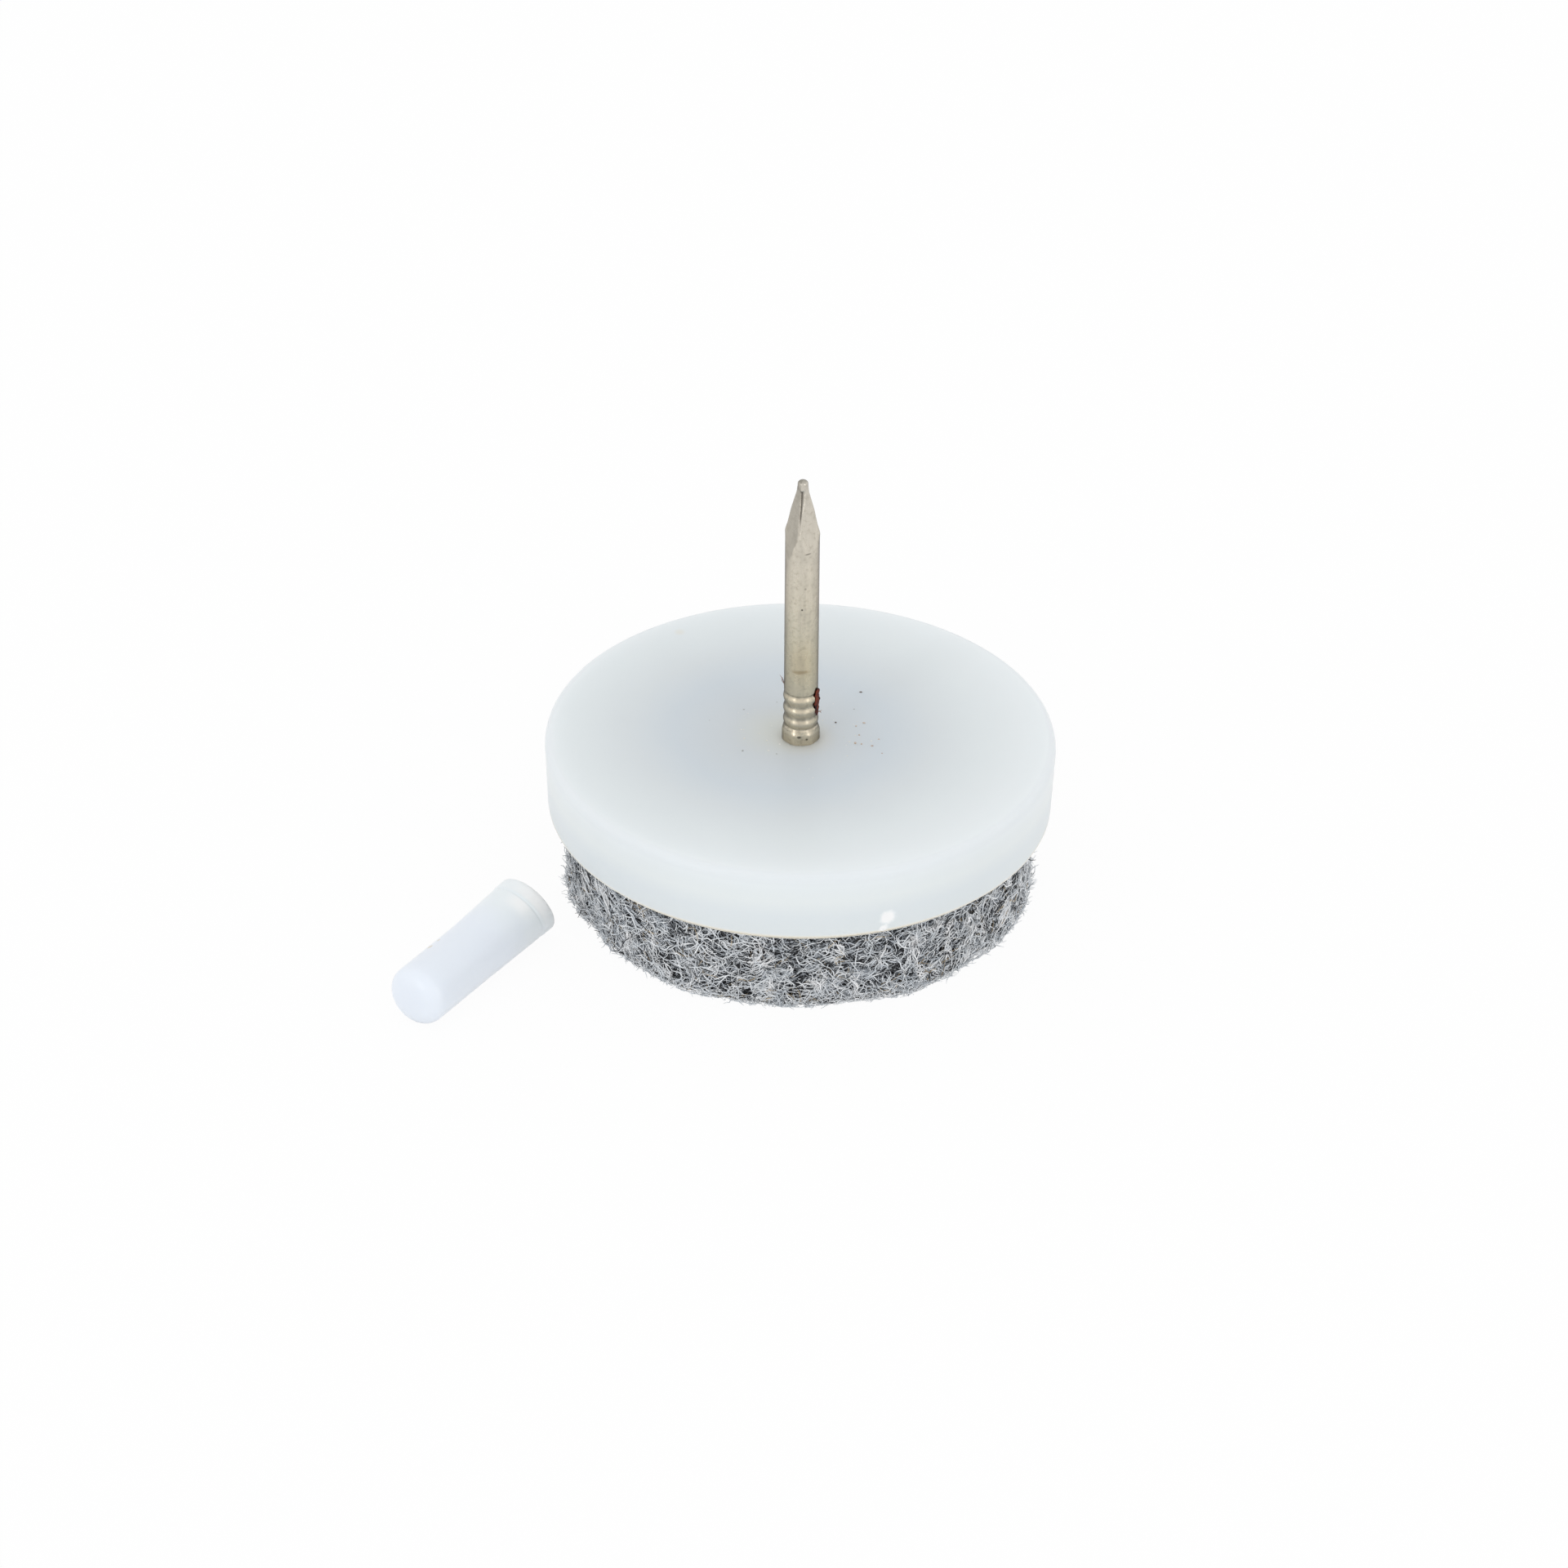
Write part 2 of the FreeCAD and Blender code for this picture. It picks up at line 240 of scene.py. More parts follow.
def make_crumbs(
    name: str, centres: Array, sizes: Array, seed: int, material: bpy.types.Material
) -> bpy.types.Object:
    """Small crumbs as one mesh: coarse balls, each squashed and dented at random.

    Args:
        name: the piece's name.
        centres: crumbs x 3 places, in metres.
        sizes: width of each crumb, in metres.
        seed: start of the draw.
        material: the finish.

    Returns:
        The object.
    """
    draw = np.random.default_rng(seed)
    rows, columns = 4, 7
    poles = np.array([[0.0, 0.0, -1.0], [0.0, 0.0, 1.0]])
    ball = np.concatenate([unit_ball(rows, columns).reshape(-1, 3), poles])
    squash = draw.uniform(0.6, 1.2, (len(centres), 1, 3)) * np.array([1.0, 1.0, 0.4])
    dents = draw.uniform(0.75, 1.1, (len(centres), len(ball), 1))
    points = centres[:, None] + sizes[:, None, None] / 2 * ball * squash * dents
    first = np.arange(len(centres))[:, None, None] * len(ball)
    quads, triangles = skin_faces(rows, columns, Closure.POLES)
    quads, triangles = (first + quads).reshape(-1, 4), (first + triangles).reshape(-1, 3)
    return make_object(name, points.reshape(-1, 3), quads, triangles, material)


def turned(radii: Array, heights: Array, columns: int) -> Array:
    """Points of a section carried round the upright axis: (r cos a, r sin a, z).

    Args:
        radii: distance from the axis, one for each row, or one for each row and column.
        heights: height of each row.
        columns: points round the axis.

    Returns:
        A rows x columns x 3 grid.
    """
    angles = ring(columns)
    wide = np.broadcast_to(radii.reshape(len(heights), -1), (len(heights), columns))
    tall = np.broadcast_to(heights[:, None], wide.shape)
    return np.stack([wide * np.cos(angles), wide * np.sin(angles), tall], axis=-1)


def make_threads(
    name: str, paths: Array, thickness: Array, material: bpy.types.Material
) -> bpy.types.Object:
    """Many thin threads as one mesh: a triangle carried along each path and tapered to its ends.

    Args:
        name: the piece's name.
        paths: threads x points x 3 centre lines, in metres.
        thickness: diameter of each thread, in metres.
        material: the finish.

    Returns:
        The object.
    """
    count, length = paths.shape[:2]
    along = np.gradient(paths, axis=1)
    along /= np.linalg.norm(along, axis=-1, keepdims=True)
    side = np.cross(along, ASKEW)
    side /= np.linalg.norm(side, axis=-1, keepdims=True)
    over = np.cross(side, along)
    turn = ring(3)
    taper = 0.45 + 0.55 * np.sin(np.linspace(0, math.pi, length))
    reach = (thickness[:, None] / 2 * taper)[..., None, None]
    spokes = side[:, :, None] * np.cos(turn)[:, None] - over[:, :, None] * np.sin(turn)[:, None]
    points = (paths[:, :, None] + reach * spokes).reshape(-1, 3)
    first = np.arange(count)[:, None] * length * 3
    quads = (first[..., None] + grid_quads(length, 3, Closure.POLES)[None]).reshape(-1, 4)
    start_cap = first + np.array([[2, 1, 0]])
    end_cap = first + (length - 1) * 3 + np.array([[0, 1, 2]])
    return make_object(name, points, quads, np.concatenate([start_cap, end_cap]), material, math.pi)


@dataclass
class Ripple:
    """An even, seeded unevenness: a sum of plane waves of random direction and phase, from -1 to 1 or so."""

    seed: int
    wavelength: float
    waves: int = 16

    def at(self, across: Array, along: Array) -> Array:
        """The unevenness at places of a surface that is unrolled flat.

        Args:
            across: first coordinate, in metres.
            along: second coordinate, in metres.

        Returns:
            One value for each place.
        """
        draw = np.random.default_rng(self.seed)
        direction = draw.uniform(0, FULL_TURN, self.waves)
        pace = FULL_TURN / (self.wavelength * draw.uniform(0.6, 1.6, self.waves))
        phase = draw.uniform(0, FULL_TURN, self.waves)
        swing = across[..., None] * np.cos(direction) + along[..., None] * np.sin(direction)
        return np.sin(swing * pace + phase).sum(axis=-1) / math.sqrt(self.waves)


class NodeGraph:
    """The nodes of one material, made and joined by short calls."""

    def __init__(self, tree: bpy.types.NodeTree) -> None:
        """Clears the tree that the nodes go into."""
        self.tree = tree
        tree.nodes.clear()

    @classmethod
    def for_material(cls, name: str) -> tuple["NodeGraph", bpy.types.Material]:
        """A new material and the graph of its nodes.

        Args:
            name: the material's name.

        Returns:
            The graph and the material.
        """
        material = bpy.data.materials.new(name)
        material.use_nodes = True
        return cls(material.node_tree), material

    def add(self, kind: str, **settings: Any) -> bpy.types.Node:
        """A new node of one kind, with its settings.

        Args:
            kind: its type, without the words ShaderNode.
            settings: its properties.

        Returns:
            The node.
        """
        node = self.tree.nodes.new(f"ShaderNode{kind}")
        for name, setting in settings.items():
            setattr(node, name, setting)
        return node

    def feed(self, socket: Socket, source: Any) -> None:
        """Links a socket to another one, or gives it a constant.

        Args:
            socket: the input.
            source: an output to link, or the constant.
        """
        if isinstance(source, Socket):
            self.tree.links.new(source, socket)
        else:
            socket.default_value = source

    def place(self) -> Socket:
        """Object coordinates, in metres."""
        return self.add("TexCoord").outputs["Object"]

    def stretched(self, scale: Place) -> Socket:
        """Object coordinates, scaled by axis.

        Args:
            scale: one factor for each axis.

        Returns:
            The scaled place.
        """
        node = self.add("Mapping")
        self.feed(node.inputs["Vector"], self.place())
        self.feed(node.inputs["Scale"], scale)
        return node.outputs["Vector"]

    def noise(self, size: float, detail: float = 3.0, vector: Any = None) -> Socket:
        """Noise whose lumps are about one size, in metres, from 0 to 1.

        Args:
            size: width of a lump.
            detail: how many finer layers it has.
            vector: where it is read, or the object's own place.

        Returns:
            The noise.
        """
        node = self.add("TexNoise")
        self.feed(node.inputs["Vector"], vector or self.place())
        self.feed(node.inputs["Scale"], 1 / size)
        self.feed(node.inputs["Detail"], detail)
        return node.outputs["Fac"]

    def math(self, operation: str, first: Any, second: Any) -> Socket:
        """One sum of two numbers.

        Args:
            operation: the kind of sum.
            first: a number or an output.
            second: a number or an output.

        Returns:
            The result.
        """
        node = self.add("Math", operation=operation)
        self.feed(node.inputs[0], first)
        self.feed(node.inputs[1], second)
        return node.outputs[0]

    def scaled(self, source: Any, factor: float) -> Socket:
        """A number times a factor."""
        return self.math("MULTIPLY", source, factor)

    def waver(self, size: float, swing: float) -> Socket:
        """Noise about zero, with its size of lumps and its whole swing."""
        return self.scaled(self.math("SUBTRACT", self.noise(size), 0.5), swing)

    def rise(self, source: Any, low: float, high: float) -> Socket:
        """0 up to low, 1 from high on and a smooth step between them; low may lie above high.

        Args:
            source: the number that is read.
            low: where the step starts.
            high: where it ends.

        Returns:
            The share, from 0 to 1.
        """
        node = self.add("MapRange", interpolation_type="SMOOTHSTEP")
        self.feed(node.inputs["Value"], source)
        self.feed(node.inputs["From Min"], low)
        self.feed(node.inputs["From Max"], high)
        return node.outputs["Result"]

    def away(self, centre: Place, weights: Place) -> Socket:
        """Distance from a point, with each axis weighed by its own factor.

        Args:
            centre: the point, in metres.
            weights: one factor for each axis.

        Returns:
            The distance.
        """
        moved = self.add("VectorMath", operation="SUBTRACT")
        self.feed(moved.inputs[0], self.place())
        self.feed(moved.inputs[1], centre)
        weighed = self.add("VectorMath", operation="MULTIPLY")
        self.feed(weighed.inputs[0], moved.outputs[0])
        self.feed(weighed.inputs[1], weights)
        length = self.add("VectorMath", operation="LENGTH")
        self.feed(length.inputs[0], weighed.outputs[0])
        return length.outputs["Value"]

    def ramp(self, source: Any, stops: list[tuple[float, Colour]]) -> Socket:
        """A colour that follows a number through a list of stops.

        Args:
            source: the number, from 0 to 1.
            stops: places from 0 to 1 and their colours, in order.

        Returns:
            The colour.
        """
        node = self.add("ValToRGB")
        marks = node.color_ramp.elements
        for _ in stops[2:]:
            marks.new(0.5)
        for mark, (position, colour) in zip(marks, stops):
            mark.position = position
            mark.color = colour
        self.feed(node.inputs["Fac"], source)
        return node.outputs["Color"]

    def blend(self, share: Any, first: Any, second: Any) -> Socket:
        """Two colours mixed by a share of the second one.

        Args:
            share: how much of the second, from 0 to 1.
            first: a colour.
            second: the other colour.

        Returns:
            The mixed colour.
        """
        node = self.add("Mix", data_type="RGBA")
        self.feed(node.inputs[MIX_SHARE], share)
        self.feed(node.inputs[MIX_FIRST], first)
        self.feed(node.inputs[MIX_SECOND], second)
        return node.outputs[MIX_COLOUR]

    def value_of(self, attribute: str) -> Socket:
        """A value that the mesh carries at each of its points."""
        return self.add("Attribute", attribute_name=attribute).outputs["Fac"]

    def bump(self, height: Any, depth: float) -> Socket:
        """A normal tilted by a height from 0 to 1 that stands for one depth, in metres.

        Args:
            height: the height that is read.
            depth: what a height of 1 stands for.

        Returns:
            The normal.
        """
        node = self.add("Bump")
        self.feed(node.inputs["Height"], height)
        self.feed(node.inputs["Distance"], depth)
        return node.outputs["Normal"]

    def principled(self, **sockets: Any) -> None:
        """The surface shader, with its sockets named in small letters, as the material's output.

        Args:
            sockets: a constant or an output for each socket that isn't left as it is.
        """
        shader = self.add("BsdfPrincipled")
        for name, source in sockets.items():
            self.feed(shader.inputs[name.replace("_", " ").title().replace("Ior", "IOR")], source)
        output = self.add("OutputMaterial")
        self.feed(output.inputs["Surface"], shader.outputs["BSDF"])

    def mixed_output(self, kind: str, share: Any, first: bpy.types.Node, second: bpy.types.Node) -> None:
        """Two shaders mixed by a share of the second one, as the output of a material or a world.

        Args:
            kind: Material or World.
            share: how much of the second, from 0 to 1.
            first: a shader.
            second: the other shader.
        """
        mix = self.add("MixShader")
        self.feed(mix.inputs["Fac"], share)
        self.feed(mix.inputs[1], first.outputs[0])
        self.feed(mix.inputs[2], second.outputs[0])
        self.feed(self.add(f"Output{kind}").inputs["Surface"], mix.outputs[0])


@dataclass(frozen=True)
class PlatePlastic:
    """The plate's milky plastic, with painted shade: darker and cooler in the middle, lighter at the rim,
    darker low on the side and on the round; cream along its foot.
    """

    reach: float
    foot: float
    top: float
    gate: tuple[tuple[Place, float], ...]
    shade_centre: Place = (-0.9 * MM, 0.3 * MM, 0.0)
    top_colour_and_shade_stops: tuple[tuple[float, Colour], ...] = (
        (0.07, srgb(208, 212, 209)),
        (0.20, srgb(204, 210, 214)),
        (0.42, srgb(205, 213, 219)),
        (0.60, srgb(214, 220, 223)),
        (0.78, srgb(222, 228, 230)),
        (0.96, srgb(229, 234, 236)),
    )
    # Cream along the foot, then painted shade: darker low on the side and on the top's round.
    side_colour_and_shade_stops: tuple[tuple[float, Colour], ...] = (
        (0.00, srgb(240, 226, 194)),
        (0.07, srgb(236, 227, 206)),
        (0.11, srgb(222, 228, 230)),
        (0.38, srgb(224, 230, 233)),
        (0.62, srgb(230, 235, 236)),
        (0.86, srgb(229, 234, 236)),
        (0.95, srgb(224, 229, 232)),
    )
    cream: Colour = srgb(222, 209, 176)
    torn: Colour = srgb(250, 252, 253)
    smudges: tuple[Place, ...] = (
        (-5.9 * MM, 8.9 * MM, 0.35 * MM),
        (0.2 * MM, -0.2 * MM, 1.8 * MM),
    )

    def material(self) -> bpy.types.Material:
        """The finish: painted shade by distance from the shaded middle and by height on the side, smudges, a
        scar.

        Returns:
            The material.
        """
        graph, material = NodeGraph.for_material("plate_plastic")
        # Painted shade: darker and cooler towards the middle, where the felt shows through, lighter towards
        # the rim.
        outwards = graph.math("DIVIDE", graph.away(self.shade_centre, LEVEL_ONLY), self.reach)
        shade = graph.ramp(graph.math("ADD", outwards, graph.waver(3.5 * MM, 0.06)), list(self.top_colour_and_shade_stops))
        # On the side, by height: the cream foot, then painted shade, darker low down and on the round.
        above_foot = graph.away((0.0, 0.0, self.foot), HEIGHT_ONLY)
        climb = graph.math("DIVIDE", above_foot, self.top - self.foot)
        from_axis = graph.away((0.0, 0.0, 0.0), LEVEL_ONLY)
        at_side = graph.rise(from_axis, 0.962 * self.reach, 0.98 * self.reach)
        shade = graph.blend(at_side, shade, graph.ramp(climb, list(self.side_colour_and_shade_stops)))
        for across, along, size in self.smudges:
            smudge = graph.rise(graph.away((across, along, 0.0), LEVEL_ONLY), size, 0.2 * size)
            shade = graph.blend(graph.scaled(smudge, 0.2), shade, self.cream)
        ragged = graph.waver(0.3 * MM, 0.3 * MM)
        for centre, size in self.gate:
            near = graph.math("ADD", graph.away(centre, EVENLY), ragged)
            shade = graph.blend(graph.rise(near, size, 0.45 * size), shade, self.torn)
        graph.principled(
            base_color=shade,
            roughness=0.36,
            ior=1.5,
            specular_ior_level=0.25,
            subsurface_weight=0.7,
            subsurface_radius=(1.0, 1.0, 1.0),
            subsurface_scale=1.0 * MM,
            normal=graph.bump(graph.noise(0.12 * MM, 2.0), 0.002 * MM),
        )
        return material


@dataclass(frozen=True)
class Mark:
    """A dark mark on the nail's front: how far right, how high, how wide, how dark and how flat."""

    across: float
    height: float
    size: float
    depth: float
    flatten: float = 1.0


@dataclass(frozen=True)
class NickelWire:
    """The nail's nickel plating: pale, softly blurred, yellowed near the plate, with stains, pits and
    painted shade and highlights.
    """

    radius: float
    foot: float
    stand: float
    stain_height: float
    marks: tuple[Mark, ...]
    stops: tuple[tuple[float, Colour], ...] = (
        (0.10, srgb(212, 201, 179)),
        (0.28, srgb(222, 209, 182)),
        (0.50, srgb(217, 208, 189)),
        (0.75, srgb(212, 205, 191)),
        (1.00, srgb(208, 202, 191)),
    )
    dull_and_shade: Colour = srgb(152, 148, 138)
    speck: Colour = srgb(132, 122, 104)
    yellow: Colour = srgb(208, 183, 142)
    brown: Colour = srgb(148, 118, 76)
    dirt_and_shade: Colour = srgb(60, 53, 45)

    def material(self) -> bpy.types.Material:
        """The finish: a tone by height, streaks, specks, a stain with its halo, and the mesh's own dirt and
        painted shade and highlights.

        Returns:
            The material.
        """
        graph, material = NodeGraph.for_material("nail_nickel")
        upwards = graph.away((0.0, 0.0, self.foot), HEIGHT_ONLY)
        shade = graph.ramp(graph.math("DIVIDE", upwards, self.stand), list(self.stops))
        streak = graph.noise(0.16 * MM, 3.0, graph.stretched((1.0, 1.0, 0.06)))
        cloud = graph.noise(0.7 * MM, 4.0, graph.stretched((1.0, 1.0, 0.6)))
        grit = graph.noise(0.2 * MM, 6.0)
        halo = graph.away((0.0, -self.radius, self.stain_height + 0.6 * MM), (1.0, 0.3, 0.5))
        patch = graph.away((-0.05 * MM, -self.radius, self.stain_height), (0.8, 0.25, 3.0))
        stain = graph.math("ADD", patch, graph.waver(0.2 * MM, 0.5 * MM))
        for source, low, high, share, colour in (
            (streak, 0.45, 0.75, 0.16, self.dull_and_shade),
            (cloud, 0.5, 0.75, 0.25, self.dull_and_shade),
            (grit, 0.45, 0.8, 0.35, self.speck),
            (halo, 0.8 * MM, 0.1 * MM, 0.25, self.yellow),
            (stain, 0.5 * MM, 0.05 * MM, 0.55, self.brown),
        ):
            shade = graph.blend(graph.scaled(graph.rise(source, low, high), share), shade, colour)
        # Painted shade towards the wire's sides and in the ring grooves, lighter painted highlight bands
        # beside the front, a duller point and dome.
        shade = graph.blend(graph.value_of("dull_and_shade"), shade, self.dull_and_shade)
        # Darker in the slit and the ring grooves: grime, and painted shade in these recesses.
        shade = graph.blend(graph.value_of("dirt_and_shade"), shade, self.dirt_and_shade)
        for mark in self.marks:
            front = -math.sqrt(self.radius**2 - mark.across**2)
            away = graph.away((mark.across, front, mark.height), (1.0, 0.3, mark.flatten))
            pit = graph.rise(away, mark.size / 2, 0.2 * mark.size)
            shade = graph.blend(graph.scaled(pit, mark.depth), shade, self.dirt_and_shade)
        graph.principled(
            base_color=shade,
            metallic=1.0,
            roughness=graph.math("ADD", 0.2, graph.scaled(cloud, 0.16)),
            specular_tint=(0.45, 0.45, 0.48, 1.0),
            normal=graph.bump(graph.noise(0.09 * MM, 3.0, graph.stretched((1.0, 1.0, 0.3))), 0.004 * MM),
        )
        return material


@dataclass(frozen=True)
class GuardPlastic:
    """The guard's soft plastic: pale, bluish, cloudy, with a painted highlight at the lip and yellow stains.
    """

    mouth: Place
    stains: tuple[tuple[Place, float], ...]
    body: Colour = srgb(230, 236, 245)
    ends: Colour = srgb(232, 238, 241)
    # white: the colour of the painted highlight on the lip.
    white: Colour = srgb(250, 252, 253)
    yellow: Colour = srgb(205, 178, 104)

    def material(self) -> bpy.types.Material:
        """The finish: bluish, greyer towards the mouth, white in the painted highlight at the lip, and
        stained.

        Returns:
            The material.
        """
        graph, material = NodeGraph.for_material("guard_plastic")
        from_mouth = graph.math("ADD", graph.away(self.mouth, EVENLY), graph.waver(1.2 * MM, 1.6 * MM))
        shade = graph.blend(graph.rise(from_mouth, 4.6 * MM, 2.0 * MM), self.body, self.ends)
        # Painted highlight over the lip and behind its groove.
        shade = graph.blend(graph.value_of("lip_highlight"), shade, self.white)
        for centre, size in self.stains:
            spot = graph.rise(graph.away(centre, EVENLY), size / 2, 0.15 * size)
            shade = graph.blend(graph.scaled(spot, 0.5), shade, self.yellow)
        graph.principled(
            base_color=shade,
            roughness=0.3,
            ior=1.5,
            specular_ior_level=0.4,
            subsurface_weight=0.5,
            subsurface_radius=(1.0, 1.0, 1.0),
            subsurface_scale=0.7 * MM,
            normal=graph.bump(graph.noise(0.6 * MM, 2.0), 0.005 * MM),
        )
        return material


@dataclass(frozen=True)
class MixedFibre:
    """Two near colours mixed in small clouds, dull all over: felt fibres, hairs, rust and wood dust."""

    name: str
    light: Colour
    dark: Colour
    cloud: float = 0.5 * MM

    def material(self) -> bpy.types.Material:
        """The finish: the two colours mixed by noise, which also roughens the surface.

        Returns:
            The material.
        """
        graph, material = NodeGraph.for_material(self.name)
        cloud = graph.noise(self.cloud, 4.0)
        graph.principled(
            base_color=graph.blend(graph.rise(cloud, 0.35, 0.65), self.dark, self.light),
            roughness=0.85,
            specular_ior_level=0.2,
            normal=graph.bump(cloud, 0.02 * self.cloud),
        )
        return material


@dataclass
class GlidePlate:
    """The moulded disc between the leg and the felt, with the painted scar of its gate."""

    foot: float
    top: float
    reach: float
    bore: float
    draft: float = math.radians(2.4)
    top_round: float = 0.35 * MM
    foot_edge: float = 0.28 * MM
    dish: float = 0.1 * MM
    mouth_edge: float = 0.03 * MM
    pocket_reach: float = 2.3 * MM
    pocket_depth: float = 0.8 * MM
    columns: int = 288

    def section(self) -> tuple[Array, Array]:
        """The closed half section, counter-clockwise: underside, side, round, dished top, bore, pocket.

        The top sinks towards the nail with the square of the radius, as thick mouldings do.

        Returns:
            Radii and heights of its points.
        """
        slope = math.tan(self.draft)
        side_top = self.top - self.top_round
        foot_reach = self.reach - (side_top - self.foot) * slope
        underside = np.linspace(self.pocket_reach, foot_reach - self.foot_edge, 8)
        side = np.linspace(self.foot + self.foot_edge, side_top, 10)
        turn = np.linspace(0, math.pi / 2, 9)[1:]
        edge_radii = self.reach - self.top_round + self.top_round * np.cos(turn)
        edge_heights = side_top + self.top_round * np.sin(turn)
        inwards = np.linspace(self.reach - self.top_round, self.bore + self.mouth_edge, 26)[1:]
        radii = [
            underside,
            self.reach - (side_top - side) * slope,
            edge_radii,
            inwards,
            [self.bore, self.bore, self.pocket_reach],
        ]
        heights = [
            np.full(len(underside), self.foot),
            side,
            edge_heights + self.dish * np.sin(turn),
            self.top + self.dish * (inwards / (self.reach - self.top_round)) ** 2,
            [self.top - self.mouth_edge, self.foot + self.pocket_depth, self.foot + self.pocket_depth],
        ]
        return np.concatenate(radii), np.concatenate(heights)

    def build(self) -> None:
        """Makes the disc, with the pale scar where the mould's gate broke off."""
        nib = self.on_side(math.radians(-69.75), 1.0 * MM)
        tail = self.on_side(math.radians(-70.6), 0.42 * MM)
        gate = ((nib, 0.47 * MM), (tail, 0.27 * MM))
        plastic = PlatePlastic(self.reach, self.foot, self.top, gate).material()
        disc = make_skin("glide_plate_shell", turned(*self.section(), self.columns), Closure.LOOP, plastic)
        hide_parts("glide_plate")

    def on_side(self, turn: float, lift: float) -> Place:
        """A place on the drafted side: in a direction from the axis, so far above the underside."""
        wall = self.reach - (self.top - self.foot - lift) * math.tan(self.draft)
        return wall * math.cos(turn), wall * math.sin(turn), self.foot + lift


@dataclass
class Nail:
    """The drawn wire nail: flat head under the plate, grip rings, shank and pinched four-sided point."""

    foot: float
    plate_top: float
    tip: float
    radius: float
    head_reach: float
    head_height: float = 0.8 * MM
    ring_pitch: float = 0.62 * MM
    ring_lift: float = 0.13 * MM
    ring_swing: float = 0.032 * MM
    collar_rise: float = 0.05 * MM
    ring_count: int = 4
    shoulder: float = 2.65 * MM
    point_depths: tuple[float, ...] = (0.0, 0.3, 0.6, 1.5, 2.65, 3.25, 4.2, 8.0)
    point_halves: tuple[float, ...] = (0.17, 0.185, 0.215, 0.397, 0.57, 0.715, 0.81, 1.2)
    tip_dome: float = 0.15 * MM
    point_turn: float = math.radians(35)
    fin_height: float = 0.035 * MM
    fin_spread: float = math.radians(10)
    fin_length: float = 0.25 * MM
    slit_depth: float = 0.08 * MM
    slit_half: float = 0.085 * MM
    slit_near: float = 0.44 * MM
    slit_far: float = 2.7 * MM
    dents_full: float = 0.45 * MM
    dents_end: float = 0.75 * MM
    dent_height: float = 0.015 * MM
    corner_power: int = 18
    least_power: int = 40
    lean: float = 0.0065
    columns: int = 160

    def rings(self, heights: Array) -> tuple[Array, Array]:
        """The rolled grip rings: a cosine wave about the shank, with a stouter lowest ring.

        Args:
            heights: height of each row.

        Returns:
            Rise above the shank, and how far each row lies in a groove, from 0 to 1.
        """
        place = (heights - self.plate_top - self.ring_lift) / self.ring_pitch
        among = smooth_step(self.ring_count + 0.12, self.ring_count - 0.02, place)
        wave = np.where(place < 0.5, 1.0, -np.cos(FULL_TURN * place))
        collar = smooth_step(1.1, 0.9, place) * self.collar_rise
        rise = among * (self.ring_swing * wave + collar)
        return rise, among * (0.5 - 0.5 * wave) ** 5

    def point_reach(self, tall: Array, from_flat: Array) -> Array:
        """The point: a rounded square whose half width follows its profile up to a round, flat dome.

        Args:
            tall: height of each row, as a column.
            from_flat: angle from the middle of a flat, as a row.

        Returns:
            Distance from the axis for each row and column.
        """
        half = np.interp((self.tip - tall) / MM, self.point_depths, self.point_halves) * MM
        power = self.corner_power
        square = (np.abs(np.cos(from_flat)) ** power + np.abs(np.sin(from_flat)) ** power) ** (-1 / power)
        blunted = smooth_step(self.tip - 0.55 * MM, self.tip - 0.2 * MM, tall)
        cap = np.clip((tall - self.tip + self.tip_dome) / self.tip_dome, 0, 0.99)
        return half * (square + (1.36 - square) * blunted) * np.sqrt(1 - cap**2)

    def rows(self) -> Array:
        """Heights of the rows above the head, close together on the rings, the point and the dome.

        Returns:
            The heights, from low to high.
        """
        rings_top = self.plate_top + self.ring_lift + self.ring_pitch * (self.ring_count + 0.15)
        point_start = self.tip - 5.0 * MM
        dome_foot = self.tip - self.tip_dome
        dome = np.sin(np.linspace(0, math.radians(82), 12))
        return np.concatenate(
            [
                np.linspace(self.foot + self.head_height, self.plate_top - 0.1 * MM, 5),
                np.linspace(self.plate_top - 0.06 * MM, rings_top, 100),
                np.linspace(rings_top, point_start, 30)[1:],
                np.linspace(point_start, dome_foot, 120)[1:-1],
                dome_foot + self.tip_dome * dome,
            ]
        )

    def skin(self) -> tuple[Array, Array, Array]:
        """The nail's surface: the least of ringed shank and point, with fins, a slit in front and a lean.

        Returns:
            A rows x columns x 3 grid, the dirt with painted shade and the dullness with painted shade and
            highlights at each point, from 0 to 1.
        """
        heights = self.rows()
        tall = heights[:, None]
        angles = ring(self.columns)[None, :]
        from_flat = angles - self.point_turn
        ring_rise, groove = self.rings(heights)
        dented = smooth_step(self.plate_top + self.dents_end, self.plate_top + self.dents_full, tall)
        shank = self.radius + ring_rise[:, None] + dented * self.dent_height * np.cos(7 * angles + 0.8)
        point = self.point_reach(tall, from_flat)
        power = self.least_power
        reach = (shank**-power + point**-power) ** (-1 / power)
        cut = smooth_step(0.0, 0.03 * MM, shank - point)

        shoulder = self.tip - self.shoulder
        from_corner = np.abs((from_flat % (math.pi / 2)) - math.pi / 4)
        fin = bell(from_corner, self.fin_spread) * bell(tall - shoulder, self.fin_length)
        reach = reach + self.fin_height * fin

        front_edge = self.point_turn + math.radians(225)
        off_edge = (angles - front_edge + math.pi) % FULL_TURN - math.pi
        slit_top = self.tip - self.slit_near
        slit_foot = self.tip - self.slit_far
        climb = smooth_step(self.tip - 2.2 * MM, self.tip - 0.9 * MM, tall)
        low_end = smooth_step(slit_foot, slit_foot + 0.3 * MM, tall)
        high_end = smooth_step(slit_top, slit_top - 0.12 * MM, tall)
        slit = low_end * high_end * bell(off_edge * reach, self.slit_half * (0.35 + 0.65 * climb))
        reach = reach - self.slit_depth * slit * climb

